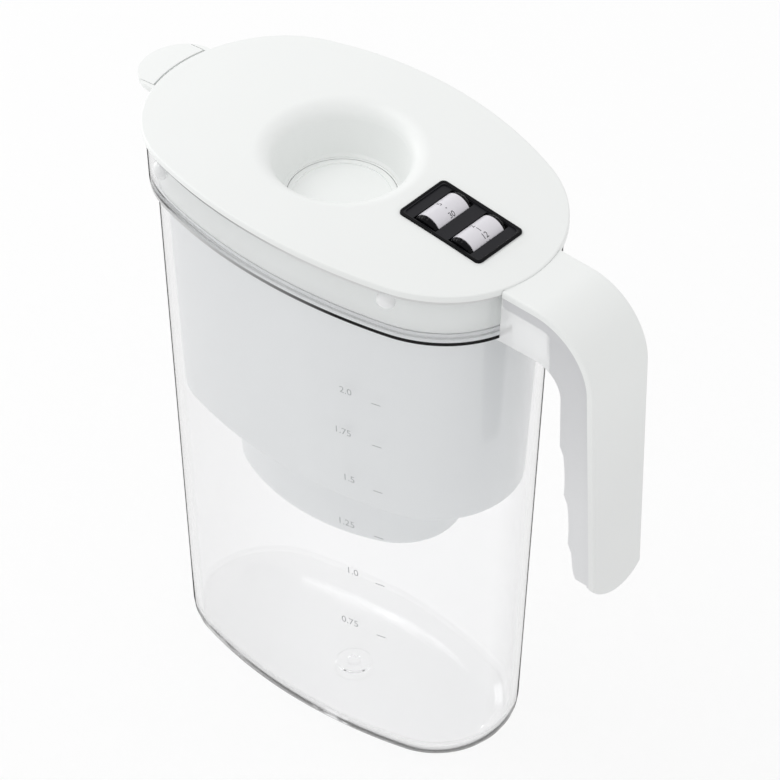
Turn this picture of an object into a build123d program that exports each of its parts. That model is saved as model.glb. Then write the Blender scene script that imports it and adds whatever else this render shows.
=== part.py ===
from build123d import *
import math
import os

os.makedirs("parts", exist_ok=True)

# The jug stands on z = 0 with the middle of its base at the origin. +X points to the handle,
# -X to the spout and +Z up. All sizes are millimetres.

# Lid: a long oval of four arcs, bent lengthways like a shallow barrel
LID_HALF_LENGTH = 91.0
LID_HALF_WIDTH = 56.2
LID_END_RADIUS = 49.6
LID_TOP = 255.0
LID_PLATE = 2.5
ARCH_RADIUS = 790.0
LID_SKIRT_INSET = 6.3
LID_SKIRT_WALL = 1.8
LID_SKIRT_FOOT = 232.9
LID_EDGE_ROUND = 0.7

# Clear jug: a tapered oval wall, with a wider band round its mouth
BASE_HALF_LENGTH = 73.0
BASE_HALF_WIDTH = 36.6
BASE_END_RADIUS = 31.0
BASE_ROUND = 14.0
SHOULDER = 228.7
SHOULDER_INSET = 5.6
JUG_WALL = 2.4
JUG_FLOOR = 3.2
LEDGE = 1.8
BAND_FOOT_INSET = 3.2
BAND_FOOT_ROUND = 0.8
RIM_INSET = 1.2
RIM_GAP = 0.35
SPOUT_FOOT_X, SPOUT_FOOT_Z, SPOUT_FOOT_RADIUS = -78.0, 216.0, 7.0
SPOUT_MOUTH_X, SPOUT_MOUTH_Z, SPOUT_MOUTH_RADIUS = -88.2, 250.0, 15.9
NUB_X, NUB_DROP, NUB_RADIUS, NUB_INSET = 56.4, 5.0, 4.0, 5.0
GATE_RADIUS, GATE_DIMPLE_RADIUS, GATE_HEIGHT = 8.5, 4.5, 1.4

# Handle: arched over from the band, then straight down
HANDLE_ARC_X, HANDLE_ARC_Z, HANDLE_ARC_RADIUS = 104.5, 220.9, 28.5
HANDLE_HALF_WIDTH_TOP, HANDLE_HALF_WIDTH_FOOT = 16.7, 13.2
HANDLE_CORNER_Z, HANDLE_FOOT_Z = 124.4, 118.3
COVER_WALL = 3.0
COVER_ROUND = 1.0
BOSS_WALL = 2.0
LID_CLEARANCE = 0.4
ARCH_UNDER_X, ARCH_UNDER_Z, ARCH_UNDER_RADIUS = 103.6, 211.0, 12.2
ROOT_FOOT_Z = 222.2
ROOT_END_X = 110.5
ROOT_HALF_WIDTH = 14.6
ROOT_FLOOR = 2.4
SPINE_TOP, SPINE_THICKNESS, SPINE_FOOT_Z, SPINE_HALF_WIDTH = 3.3, 4.6, 136.0, 8.0
GRIP_INSET, RAIL_INSET = 1.3, 0.5
RAIL_ROOT_DEPTH, RAIL_LEG_DEPTH = 8.2, 4.4
FINGER_STEPS, FINGER_PITCH, FINGER_STEP, FINGER_RAMP = 3, 23.5, 1.7, 4.0
FIRST_RIDGE_X, FIRST_RIDGE_Z = 115.2, 187.5
FINGER_HOLLOW = 0.5
PALM_KNEE_OUT, PALM_KNEE_DROP = 0.4, 6.0
PALM_BEND_OUT, PALM_BEND_DROP = 2.6, 8.0
GRIP_TOE_X, GRIP_TOE_Z = 129.0, 117.5
JOIN_GAP = 0.1
SLOT_GAP = 0.25

# Funnel: a hopper that hangs in the jug's mouth, with a deeper well for the cartridge
FUNNEL_WALL = 1.8
FUNNEL_FLANGE = 1.6
FUNNEL_FLANGE_INSET = 6.0
FUNNEL_SEAT_GAP = 0.3
HOPPER_FLOOR = 127.5
HOPPER_TOP_HALF_LENGTH, HOPPER_TOP_HALF_WIDTH, HOPPER_TOP_END = 82.4, 47.6, 41.2
HOPPER_FOOT_HALF_LENGTH, HOPPER_FOOT_HALF_WIDTH, HOPPER_FOOT_END = 75.0, 40.2, 34.2
HOPPER_FOOT_ROUND = 4.0
WELL_FLOOR = 97.0
WELL_X = 2.0
WELL_TOP_HALF_LENGTH, WELL_TOP_HALF_WIDTH = 50.3, 31.5
WELL_FOOT_HALF_LENGTH, WELL_FOOT_HALF_WIDTH = 48.3, 29.5
WELL_CORNER = 5.0
WELL_HOLE_HALF_LENGTH, WELL_HOLE_HALF_WIDTH = 38.0, 19.0
POUR_CHANNEL_X, POUR_CHANNEL_RADIUS = -92.0, 18.0

# Cartridge: a tub of filter grains under a cap with slots
CARTRIDGE_FLOOR, CARTRIDGE_TOP = 100.0, 155.5
CARTRIDGE_FOOT_HALF_LENGTH, CARTRIDGE_FOOT_HALF_WIDTH = 44.9, 26.1
CARTRIDGE_TOP_HALF_LENGTH, CARTRIDGE_TOP_HALF_WIDTH = 46.3, 27.5
CARTRIDGE_CORNER = 4.0
CARTRIDGE_WALL = 1.6
CARTRIDGE_FLANGE_Z, CARTRIDGE_FLANGE, CARTRIDGE_FLANGE_REACH = 131.1, 1.8, 7.0
SEAL_HEIGHT, SEAL_REACH = 1.4, 6.4
CAP_HEIGHT, CAP_TAPER = 10.0, 5.5
CAP_PULL_LENGTH, CAP_PULL_WIDTH, CAP_PULL_HEIGHT = 30.0, 3.0, 9.0
SLOTS, SLOT_PITCH, SLOT_WIDTH, SLOT_LENGTH = 9, 9.0, 3.2, 34.0
MESH = 0.6
MESH_GAP = 0.4
OUTLET_MESH_Z, INLET_MESH_Z = 102.0, 153.5

# Bowl in the lid and the fill flap that closes it
BOWL_X = -6.1
BOWL_MOUTH_RADIUS = 27.6
BOWL_RIM_ROUND = 7.5
THROAT_RADIUS, THROAT_FOOT_RADIUS = 21.7, 22.3
THROAT_TOP, THROAT_FOOT = 234.2, 229.0
BOWL_FLOOR_RADIUS, BOWL_FLOOR_Z = 22.6, 235.2
BOWL_WALL = 2.0
BOWL_FLARE_RADIUS, BOWL_FLARE_Z = 36.0, 253.0
FLAP_RADIUS = 21.2
FLAP_TOP, FLAP_PLATE, FLAP_DISH = 233.6, 1.8, 0.6
FLAP_RIM, FLAP_EDGE_ROUND = 2.4, 0.5
FLAP_AXIS_X, FLAP_AXIS_Z = BOWL_X + 26.4, 227.4
FLAP_PIN_RADIUS, FLAP_PIN_LENGTH = 1.0, 22.0
FLAP_KNUCKLE_RADIUS = 2.0
FLAP_ARM_THINNING = 0.6
FLAP_ARM_HEEL_X, FLAP_ARM_TOE_X, FLAP_ARM_ELBOW_X = 6.0, 6.6, 5.6
FLAP_ARM_HEEL_DROP, FLAP_ARM_ELBOW_Z = 1.4, 228.0
FLAP_LUG_HEAD_X, FLAP_LUG_ROOT_X, FLAP_LUG_RISE = 1.0, 3.6, 5.0
FLAP_ARM_Y, FLAP_ARM_WIDTH = 5.6, 2.4
FLAP_LUG_Y, FLAP_LUG_WIDTH = 9.2, 2.4
RUNNING_FIT = 0.05
FIXED_FIT = 0.02

# Dial tray with two thumb wheels, on a plane that follows the lid's slope
DIAL_X = 53.5
DIAL_LENGTH, DIAL_WIDTH, DIAL_CORNER = 39.5, 25.0, 3.0
DIAL_DEPTH = 12.8
DIAL_RIM, DIAL_RIM_PROUD = 1.2, 0.5
DIAL_PANEL_DROP, DIAL_PANEL = 0.9, 1.4
DIAL_WALL = 1.5
DIAL_GAP = 0.2
POCKET_WALL, POCKET_DEPTH = 1.6, 13.2
WHEEL_PITCH = 17.3
WHEEL_RADIUS, WHEEL_HUB_RADIUS = 6.5, 5.6
WHEEL_LENGTH, WHEEL_FLANGE = 21.4, 2.2
WHEEL_AXIS_DROP = 4.1
WHEEL_SLOT, WHEEL_SLOT_LENGTH, WHEEL_SLOT_CORNER = 13.4, 22.0, 1.0
WHEEL_GRIPS, WHEEL_GRIP_RADIUS = 16, 0.5
NUMBER_BAND_GAP = 0.1
NUMBER_BAND_FIT = 0.05
AXLE_RADIUS, AXLE_LENGTH = 1.0, 24.6
DETENT_THICKNESS, DETENT_WIDTH, DETENT_HALF_LENGTH = 0.4, 6.0, 17.9
DETENT_CREST, DETENT_FOOT = -11.15, -12.8

# Spout flap
SPOUT_FLAP_X, SPOUT_FLAP_RADIUS = -88.6, 16.1
SPOUT_FLAP_GAP = 0.6
SPOUT_FLAP_PLATE = 2.4
SPOUT_LEAF_HALF_WIDTH = 13.9
SPOUT_EAR_INNER, SPOUT_EAR_OUTER = 14.2, 16.1
SPOUT_PIN_RADIUS = 0.7
SPOUT_AXIS_X = -(LID_HALF_LENGTH + SPOUT_FLAP_GAP + SPOUT_FLAP_PLATE / 2)
SPOUT_EAR_ROOT_X = -87.0
SPOUT_PIN_TIP_Y = 14.9
SPOUT_RELIEF_Z, SPOUT_RELIEF_FAR_X, SPOUT_RELIEF_HALF_WIDTH = 244.8, -96.8, 22.0
SPOUT_SKIRT_GAP_HALF_WIDTH = 14.0


def arch_drop(x):
    """How far the bent lid lies below its middle at a distance x along it."""
    return ARCH_RADIUS - math.sqrt(ARCH_RADIUS**2 - x**2)


SPOUT_AXIS_Z = LID_TOP - arch_drop(SPOUT_AXIS_X) - SPOUT_FLAP_PLATE / 2

# Top of the dial tray: touches the lid's curve above the middle of the tray
DIAL_SLOPE = math.asin(DIAL_X / ARCH_RADIUS)
DIAL_PLANE = Plane(
    origin=(DIAL_X, 0, LID_TOP - arch_drop(DIAL_X)),
    x_dir=(math.cos(DIAL_SLOPE), 0, -math.sin(DIAL_SLOPE)),
    z_dir=(math.sin(DIAL_SLOPE), 0, math.cos(DIAL_SLOPE)),
)

BOWL_PLANE = Plane(origin=(BOWL_X, 0, 0), x_dir=(1, 0, 0), z_dir=(0, -1, 0))
BOWL_AXIS = Axis((BOWL_X, 0, 0), (0, 0, 1))


def draw_oval(half_length, half_width, end_radius):
    """Draws an oval of two flat side arcs and two end arcs in the open sketch."""
    reach = half_length - end_radius
    side_radius = (reach**2 + half_width**2 - end_radius**2) / (2 * (half_width - end_radius))
    turn = math.degrees(math.atan2(side_radius - half_width, reach))
    with BuildLine() as outline:
        CenterArc((reach, 0), end_radius, -turn, 2 * turn)
        CenterArc((0, half_width - side_radius), side_radius, turn, 180 - 2 * turn)
        CenterArc((-reach, 0), end_radius, 180 - turn, 2 * turn)
        CenterArc((0, side_radius - half_width), side_radius, 180 + turn, 180 - 2 * turn)
    make_face(outline.edges())


def draw_lid_oval(inset):
    """Draws the lid's outline moved inwards by inset."""
    draw_oval(LID_HALF_LENGTH - inset, LID_HALF_WIDTH - inset, LID_END_RADIUS - inset)


def draw_wall_oval(height, inset):
    """Draws the jug's tapered wall at a height, moved inwards by inset."""
    share = height / SHOULDER
    draw_oval(
        BASE_HALF_LENGTH + share * (LID_HALF_LENGTH - SHOULDER_INSET - BASE_HALF_LENGTH) - inset,
        BASE_HALF_WIDTH + share * (LID_HALF_WIDTH - SHOULDER_INSET - BASE_HALF_WIDTH) - inset,
        BASE_END_RADIUS + share * (LID_END_RADIUS - SHOULDER_INSET - BASE_END_RADIUS) - inset,
    )


def draw_arched_strip(low, high):
    """Draws, in a sketch on XZ, the strip between two heights, bent like the lid."""
    reach = 160.0
    with BuildLine() as outline:
        upper = ThreePointArc(
            (-reach, high - arch_drop(reach)), (0, high), (reach, high - arch_drop(reach))
        )
        lower = ThreePointArc(
            (-reach, low - arch_drop(reach)), (0, low), (reach, low - arch_drop(reach))
        )
        Line(upper @ 0, lower @ 0)
        Line(upper @ 1, lower @ 1)
    make_face(outline.edges())


def keep_strip(low, high):
    """Keeps what lies between two heights that are bent like the lid."""
    with BuildSketch(Plane.XZ) as strip:
        draw_arched_strip(low, high)
    extrude(strip.sketch, amount=LID_HALF_WIDTH + 20, both=True, mode=Mode.INTERSECT)


def draw_tub_oval(half_length, half_width, corner, inset=0):
    """Draws an oval whose ends are nearly half circles, moved inwards by inset."""
    draw_oval(half_length - inset, half_width - inset, half_width - corner - inset)


def draw_cartridge(share, inset=0):
    """Draws the tapered cartridge, from its foot (share 0) to its top (share 1)."""
    draw_tub_oval(
        CARTRIDGE_FOOT_HALF_LENGTH
        + share * (CARTRIDGE_TOP_HALF_LENGTH - CARTRIDGE_FOOT_HALF_LENGTH),
        CARTRIDGE_FOOT_HALF_WIDTH
        + share * (CARTRIDGE_TOP_HALF_WIDTH - CARTRIDGE_FOOT_HALF_WIDTH),
        CARTRIDGE_CORNER,
        inset,
    )


def draw_slots():
    """Draws the row of slots in the cartridge's floor and cap."""
    with GridLocations(SLOT_PITCH, 0, SLOTS, 1):
        SlotOverall(SLOT_LENGTH, SLOT_WIDTH, rotation=90)


def upright(y):
    """A plane seen from the near side, at a distance y across the jug."""
    return Plane(origin=(0, y, 0), x_dir=(1, 0, 0), z_dir=(0, -1, 0))


def wheel_plane(x, y=0):
    """A plane square to a thumb wheel's axle; x is measured along the dial tray."""
    origin = DIAL_PLANE.from_local_coords((x, y, -WHEEL_AXIS_DROP))
    return Plane(origin=origin, x_dir=DIAL_PLANE.x_dir, z_dir=(0, -1, 0))


def save(builder, name):
    """Labels a finished piece and writes its file."""
    builder.part.label = name
    export_step(builder.part, f"parts/{name}.step")
    print(name, round(builder.part.volume), "mm3")


def handle_front(inset):
    """The handle seen from its outer side: tapered, with a rounded tongue at the foot."""
    top = HANDLE_HALF_WIDTH_TOP - inset
    foot = HANDLE_HALF_WIDTH_FOOT - inset
    with BuildPart() as front:
        with BuildSketch(Plane.YZ.offset(LID_HALF_LENGTH - 20)):
            with BuildLine() as outline:
                Polyline(
                    (foot, HANDLE_CORNER_Z), (top, LID_TOP), (-top, LID_TOP),
                    (-foot, HANDLE_CORNER_Z),
                )
                ThreePointArc(
                    (-foot, HANDLE_CORNER_Z), (0, HANDLE_FOOT_Z + inset), (foot, HANDLE_CORNER_Z)
                )
            make_face()
        extrude(amount=90)
    return front.part


def on_handle_corner(edge):
    """Tells whether an edge runs along a corner of the handle's outer surface."""
    middle = edge @ 0.5
    out = middle.X - HANDLE_ARC_X
    up = middle.Z - HANDLE_ARC_Z
    if out > 0 and up > 0:
        reach = math.hypot(out, up)
    else:
        reach = max(out, up)
    along_side = abs(middle.Y) > HANDLE_HALF_WIDTH_FOOT / 2
    at_foot = middle.Z < HANDLE_CORNER_Z
    return reach > HANDLE_ARC_RADIUS - 0.1 and (along_side or at_foot)


# Clear jug: band round the mouth
with BuildPart() as band_blank:
    with BuildSketch(Plane.XY.offset(SHOULDER - 10)):
        draw_lid_oval(BAND_FOOT_INSET)
    with BuildSketch(Plane.XY.offset(LID_TOP)):
        draw_lid_oval(RIM_INSET)
    loft(ruled=True)
    keep_strip(SHOULDER, LID_TOP - LID_PLATE - RIM_GAP)
    fillet(edges().group_by(Axis.Z)[0], BAND_FOOT_ROUND)

with BuildPart() as band_void:
    with BuildSketch(Plane.XY.offset(SHOULDER - 10)):
        draw_lid_oval(BAND_FOOT_INSET + JUG_WALL)
    with BuildSketch(Plane.XY.offset(LID_TOP + 5)):
        draw_lid_oval(RIM_INSET + JUG_WALL)
    loft(ruled=True)
    keep_strip(SHOULDER + LEDGE, LID_TOP + 5)

# Clear jug: the room inside, with its rounded floor
with BuildPart() as jug_void:
    with BuildSketch(Plane.XY.offset(JUG_FLOOR)):
        draw_wall_oval(JUG_FLOOR, JUG_WALL)
    with BuildSketch(Plane.XY.offset(LID_TOP + 5)):
        draw_wall_oval(LID_TOP + 5, JUG_WALL)
    loft(ruled=True)
    fillet(edges().group_by(Axis.Z)[0], BASE_ROUND - JUG_WALL)

with BuildPart() as spout_void:
    with BuildSketch(Plane.XY.offset(SPOUT_FOOT_Z)):
        with Locations((SPOUT_FOOT_X, 0)):
            Circle(SPOUT_FOOT_RADIUS - JUG_WALL)
    with BuildSketch(Plane.XY.offset(SPOUT_MOUTH_Z)):
        with Locations((SPOUT_MOUTH_X, 0)):
            Circle(SPOUT_MOUTH_RADIUS - JUG_WALL)
    loft(ruled=True)

with BuildPart() as jug_body:
    with BuildSketch(Plane.XY):
        draw_wall_oval(0, 0)
    with BuildSketch(Plane.XY.offset(SHOULDER + 10)):
        draw_wall_oval(SHOULDER + 10, 0)
    loft(ruled=True)
    fillet(edges().group_by(Axis.Z)[0], BASE_ROUND)
    keep_strip(-50, SHOULDER + LEDGE)
    add(band_blank.part)
    # The pouring beak grows out of the band
    with BuildSketch(Plane.XY.offset(SPOUT_FOOT_Z)):
        with Locations((SPOUT_FOOT_X, 0)):
            Circle(SPOUT_FOOT_RADIUS)
    with BuildSketch(Plane.XY.offset(SPOUT_MOUTH_Z)):
        with Locations((SPOUT_MOUTH_X, 0)):
            Circle(SPOUT_MOUTH_RADIUS)
    loft(ruled=True)
    keep_strip(-50, LID_TOP - LID_PLATE - RIM_GAP)
    # Root of the handle, a box that is open at the top
    root_reach = HANDLE_ARC_RADIUS - COVER_WALL - 2 * JOIN_GAP
    root_top = HANDLE_ARC_Z + root_reach
    with BuildSketch(Plane.XZ):
        with BuildLine():
            under = CenterArc(
                (ARCH_UNDER_X, ARCH_UNDER_Z),
                ARCH_UNDER_RADIUS,
                90,
                -math.degrees(math.asin((ROOT_END_X - ARCH_UNDER_X) / ARCH_UNDER_RADIUS)),
            )
            over = CenterArc(
                (HANDLE_ARC_X, HANDLE_ARC_Z),
                root_reach,
                90,
                -math.degrees(math.asin((ROOT_END_X - HANDLE_ARC_X) / root_reach)),
            )
            Line(over @ 1, under @ 1)
            Polyline(over @ 0, (70, root_top), (70, ROOT_FOOT_Z), under @ 0)
        make_face()
    extrude(amount=ROOT_HALF_WIDTH, both=True)
    with BuildSketch(Plane.XZ):
        with Locations(((LID_HALF_LENGTH + ROOT_END_X - JUG_WALL) / 2, root_top)):
            Rectangle(
                ROOT_END_X - JUG_WALL - LID_HALF_LENGTH, 2 * (root_top - ROOT_FOOT_Z - ROOT_FLOOR)
            )
    extrude(amount=ROOT_HALF_WIDTH - JUG_WALL, both=True, mode=Mode.SUBTRACT)
    # Spine that runs on inside the handle
    with BuildSketch(Plane.XZ):
        with BuildLine():
            outer = HANDLE_ARC_RADIUS - SPINE_TOP
            inner = outer - SPINE_THICKNESS
            start = math.degrees(math.acos((ROOT_END_X - JUG_WALL / 2 - HANDLE_ARC_X) / outer))
            bend = CenterArc((HANDLE_ARC_X, HANDLE_ARC_Z), outer, 0, start)
            under = CenterArc((HANDLE_ARC_X, HANDLE_ARC_Z), inner, 0, start)
            Polyline(
                bend @ 0,
                (HANDLE_ARC_X + outer, SPINE_FOOT_Z),
                (HANDLE_ARC_X + inner, SPINE_FOOT_Z),
                under @ 0,
            )
            Line(bend @ 1, under @ 1)
        make_face()
    extrude(amount=SPINE_HALF_WIDTH, both=True)
    # Snap nubs on the band: low domes, where its side bends round to NUB_X
    reach = LID_HALF_LENGTH - LID_END_RADIUS
    side_radius = (reach**2 + LID_HALF_WIDTH**2 - LID_END_RADIUS**2) / (
        2 * (LID_HALF_WIDTH - LID_END_RADIUS)
    )
    for side in (-1, 1):
        y = side * (
            LID_HALF_WIDTH
            - side_radius
            + math.sqrt((side_radius - NUB_INSET) ** 2 - NUB_X**2)
        )
        z = LID_TOP - LID_PLATE - NUB_DROP - arch_drop(NUB_X)
        with Locations((-NUB_X, y, z), (NUB_X, y, z)):
            Sphere(NUB_RADIUS)
    # Hollow the jug, the band and the beak
    add(jug_void.part, mode=Mode.SUBTRACT)
    add(band_void.part, mode=Mode.SUBTRACT)
    add(spout_void.part, mode=Mode.SUBTRACT)
    # The rim is lower beside the spout flap's hinge
    with Locations(
        ((SPOUT_RELIEF_FAR_X - LID_HALF_LENGTH + 4) / 2, 0, SPOUT_RELIEF_Z + 10)
    ):
        Box(
            -SPOUT_RELIEF_FAR_X - LID_HALF_LENGTH + 4, 2 * SPOUT_RELIEF_HALF_WIDTH, 20,
            mode=Mode.SUBTRACT,
        )
    # Moulding gate on the floor: a low ring with a dimple
    with BuildSketch(Plane.XY.offset(JUG_FLOOR)):
        Circle(GATE_RADIUS)
        Circle(GATE_DIMPLE_RADIUS, mode=Mode.SUBTRACT)
    extrude(amount=GATE_HEIGHT)
save(jug_body, "jug_body")

# Handle cover: a strip over the top and down the outside
with BuildPart() as handle_cover:
    with BuildSketch(Plane.XZ):
        with BuildLine():
            over = CenterArc((HANDLE_ARC_X, HANDLE_ARC_Z), HANDLE_ARC_RADIUS, 0, 90)
            under = CenterArc(
                (HANDLE_ARC_X, HANDLE_ARC_Z), HANDLE_ARC_RADIUS - COVER_WALL, 0, 90
            )
            Polyline(
                over @ 0,
                (HANDLE_ARC_X + HANDLE_ARC_RADIUS, HANDLE_FOOT_Z - 8),
                (HANDLE_ARC_X + HANDLE_ARC_RADIUS - COVER_WALL, HANDLE_FOOT_Z - 8),
                under @ 0,
            )
            Polyline(
                over @ 1,
                (80, HANDLE_ARC_Z + HANDLE_ARC_RADIUS),
                (80, HANDLE_ARC_Z + HANDLE_ARC_RADIUS - COVER_WALL),
                under @ 1,
            )
        make_face()
    extrude(amount=HANDLE_HALF_WIDTH_TOP + 5, both=True)
    add(handle_front(0), mode=Mode.INTERSECT)
    with BuildSketch(Plane.XY.offset(HANDLE_FOOT_Z)):
        draw_lid_oval(-LID_CLEARANCE)
    extrude(amount=LID_TOP, mode=Mode.SUBTRACT)
    fillet([edge for edge in edges() if on_handle_corner(edge)], COVER_ROUND)
    # A hollow boss plugs into the jug's root and locks the cover there
    boss_start = LID_HALF_LENGTH + LID_CLEARANCE
    boss_length = ROOT_END_X - JUG_WALL - SLOT_GAP - boss_start
    boss_width = 2 * (ROOT_HALF_WIDTH - JUG_WALL - SLOT_GAP)
    boss_middle = (boss_start + boss_length / 2, 0)
    boss_foot = ROOT_FOOT_Z + ROOT_FLOOR + SLOT_GAP
    cover_under = HANDLE_ARC_Z + HANDLE_ARC_RADIUS - COVER_WALL
    with BuildSketch(Plane.XY.offset(boss_foot)):
        with Locations(boss_middle):
            Rectangle(boss_length, boss_width)
    extrude(amount=cover_under - boss_foot + COVER_WALL / 3)
    with BuildSketch(Plane.XY.offset(boss_foot)):
        with Locations(boss_middle):
            Rectangle(boss_length - 2 * BOSS_WALL, boss_width - 2 * BOSS_WALL)
    extrude(amount=cover_under - boss_foot, mode=Mode.SUBTRACT)
save(handle_cover, "handle_cover")

# Grip: fills the inside of the handle, with a step under each finger
grip_outer = HANDLE_ARC_RADIUS - COVER_WALL - JOIN_GAP
grip_root_x = ROOT_END_X + JOIN_GAP
with BuildPart() as rail:
    # Runs along under the cover, beside the root and down the leg
    with BuildSketch(Plane.XZ):
        with BuildLine():
            low = HANDLE_ARC_Z + HANDLE_ARC_RADIUS - RAIL_ROOT_DEPTH
            leg_x = HANDLE_ARC_X + HANDLE_ARC_RADIUS - RAIL_LEG_DEPTH
            over = CenterArc((HANDLE_ARC_X, HANDLE_ARC_Z), grip_outer, 0, 90)
            under = EllipticalCenterArc(
                (HANDLE_ARC_X, HANDLE_ARC_Z), leg_x - HANDLE_ARC_X, low - HANDLE_ARC_Z
            )
            Polyline(over @ 1, (80, HANDLE_ARC_Z + grip_outer), (80, low), under @ 1)
            Polyline(
                over @ 0,
                (HANDLE_ARC_X + grip_outer, HANDLE_FOOT_Z - 8),
                (leg_x, HANDLE_FOOT_Z - 8),
                under @ 0,
            )
        make_face()
    extrude(amount=HANDLE_HALF_WIDTH_TOP + 5, both=True)
    add(handle_front(RAIL_INSET), mode=Mode.INTERSECT)
    with BuildSketch(Plane.XY.offset(HANDLE_FOOT_Z)):
        draw_lid_oval(-LID_CLEARANCE)
        with Locations((grip_root_x - 20, 0)):
            Rectangle(40, 2 * (ROOT_HALF_WIDTH + JOIN_GAP))
    extrude(amount=LID_TOP, mode=Mode.SUBTRACT)

with BuildPart() as handle_grip:
    with BuildSketch(Plane.XZ):
        with BuildLine():
            over = CenterArc(
                (HANDLE_ARC_X, HANDLE_ARC_Z),
                grip_outer,
                0,
                math.degrees(math.acos((grip_root_x - HANDLE_ARC_X) / grip_outer)),
            )
            under = CenterArc(
                (ARCH_UNDER_X, ARCH_UNDER_Z),
                ARCH_UNDER_RADIUS,
                0,
                math.degrees(math.acos((grip_root_x - ARCH_UNDER_X) / ARCH_UNDER_RADIUS)),
            )
            Line(over @ 1, under @ 1)
            Line(under @ 0, (FIRST_RIDGE_X, FIRST_RIDGE_Z))
            for step in range(FINGER_STEPS):
                x = FIRST_RIDGE_X + step * FINGER_STEP
                z = FIRST_RIDGE_Z - step * FINGER_PITCH
                heel = (x + FINGER_STEP, z - FINGER_RAMP)
                Line((x, z), heel)
                if step < FINGER_STEPS - 1:
                    ThreePointArc(
                        heel,
                        (x + FINGER_STEP + FINGER_HOLLOW, z - (FINGER_RAMP + FINGER_PITCH) / 2),
                        (x + FINGER_STEP, z - FINGER_PITCH),
                    )
            knee = (heel[0] + PALM_KNEE_OUT, heel[1] - PALM_KNEE_DROP)
            Line(heel, knee)
            ThreePointArc(
                knee,
                (knee[0] + PALM_BEND_OUT, knee[1] - PALM_BEND_DROP),
                (GRIP_TOE_X, GRIP_TOE_Z),
            )
            Polyline(
                (GRIP_TOE_X, GRIP_TOE_Z), (HANDLE_ARC_X + grip_outer, GRIP_TOE_Z), over @ 0
            )
        make_face()
    extrude(amount=HANDLE_HALF_WIDTH_TOP + 5, both=True)
    add(handle_front(GRIP_INSET), mode=Mode.INTERSECT)
    add(rail.part)
    # Slot for the jug's spine
    spine_inner = HANDLE_ARC_RADIUS - SPINE_TOP - SPINE_THICKNESS - SLOT_GAP
    with BuildSketch(Plane.XZ):
        with BuildLine():
            under = CenterArc((HANDLE_ARC_X, HANDLE_ARC_Z), spine_inner, 0, 90)
            Polyline(
                under @ 0,
                (HANDLE_ARC_X + spine_inner, SPINE_FOOT_Z - SLOT_GAP),
                (HANDLE_ARC_X + HANDLE_ARC_RADIUS, SPINE_FOOT_Z - SLOT_GAP),
                (HANDLE_ARC_X + HANDLE_ARC_RADIUS, HANDLE_ARC_Z + HANDLE_ARC_RADIUS),
                (HANDLE_ARC_X, HANDLE_ARC_Z + HANDLE_ARC_RADIUS),
                under @ 1,
            )
        make_face()
    extrude(amount=SPINE_HALF_WIDTH + SLOT_GAP, both=True, mode=Mode.SUBTRACT)
save(handle_grip, "handle_grip")

# Funnel: the room inside it, and the channel the water takes past it to the beak
hopper_rim = SHOULDER + LEDGE + FUNNEL_SEAT_GAP + FUNNEL_FLANGE
with BuildPart() as hopper_void:
    with BuildSketch(Plane.XY.offset(HOPPER_FLOOR + FUNNEL_WALL)):
        draw_oval(
            HOPPER_FOOT_HALF_LENGTH - FUNNEL_WALL,
            HOPPER_FOOT_HALF_WIDTH - FUNNEL_WALL,
            HOPPER_FOOT_END - FUNNEL_WALL,
        )
    with BuildSketch(Plane.XY.offset(hopper_rim + 0.1)):
        draw_oval(
            HOPPER_TOP_HALF_LENGTH - FUNNEL_WALL,
            HOPPER_TOP_HALF_WIDTH - FUNNEL_WALL,
            HOPPER_TOP_END - FUNNEL_WALL,
        )
    loft(ruled=True)
    fillet(edges().group_by(Axis.Z)[0], HOPPER_FOOT_ROUND - FUNNEL_WALL)
    with Locations((POUR_CHANNEL_X, 0, hopper_rim - 50)):
        Cylinder(POUR_CHANNEL_RADIUS + FUNNEL_WALL, 200, mode=Mode.SUBTRACT)

with BuildPart() as well_void:
    with BuildSketch(Plane.XY.offset(WELL_FLOOR + FUNNEL_WALL)):
        with Locations((WELL_X, 0)):
            draw_tub_oval(WELL_FOOT_HALF_LENGTH, WELL_FOOT_HALF_WIDTH, WELL_CORNER, FUNNEL_WALL)
    with BuildSketch(Plane.XY.offset(HOPPER_FLOOR + 2 * FUNNEL_WALL)):
        with Locations((WELL_X, 0)):
            draw_tub_oval(WELL_TOP_HALF_LENGTH, WELL_TOP_HALF_WIDTH, WELL_CORNER, FUNNEL_WALL)
    loft(ruled=True)
    fillet(edges().group_by(Axis.Z)[0], WELL_CORNER - FUNNEL_WALL)

with BuildPart() as hopper_blank:
    with BuildSketch(Plane.XY.offset(HOPPER_FLOOR)):
        draw_oval(HOPPER_FOOT_HALF_LENGTH, HOPPER_FOOT_HALF_WIDTH, HOPPER_FOOT_END)
    with BuildSketch(Plane.XY.offset(hopper_rim)):
        draw_oval(HOPPER_TOP_HALF_LENGTH, HOPPER_TOP_HALF_WIDTH, HOPPER_TOP_END)
    loft(ruled=True)
    fillet(edges().group_by(Axis.Z)[0], HOPPER_FOOT_ROUND)
    keep_strip(0, hopper_rim)

with BuildPart() as hopper_flange:
    with BuildSketch(Plane.XY.offset(SHOULDER - 10)):
        draw_lid_oval(FUNNEL_FLANGE_INSET)
    extrude(amount=30)
    keep_strip(hopper_rim - FUNNEL_FLANGE, hopper_rim)

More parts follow.
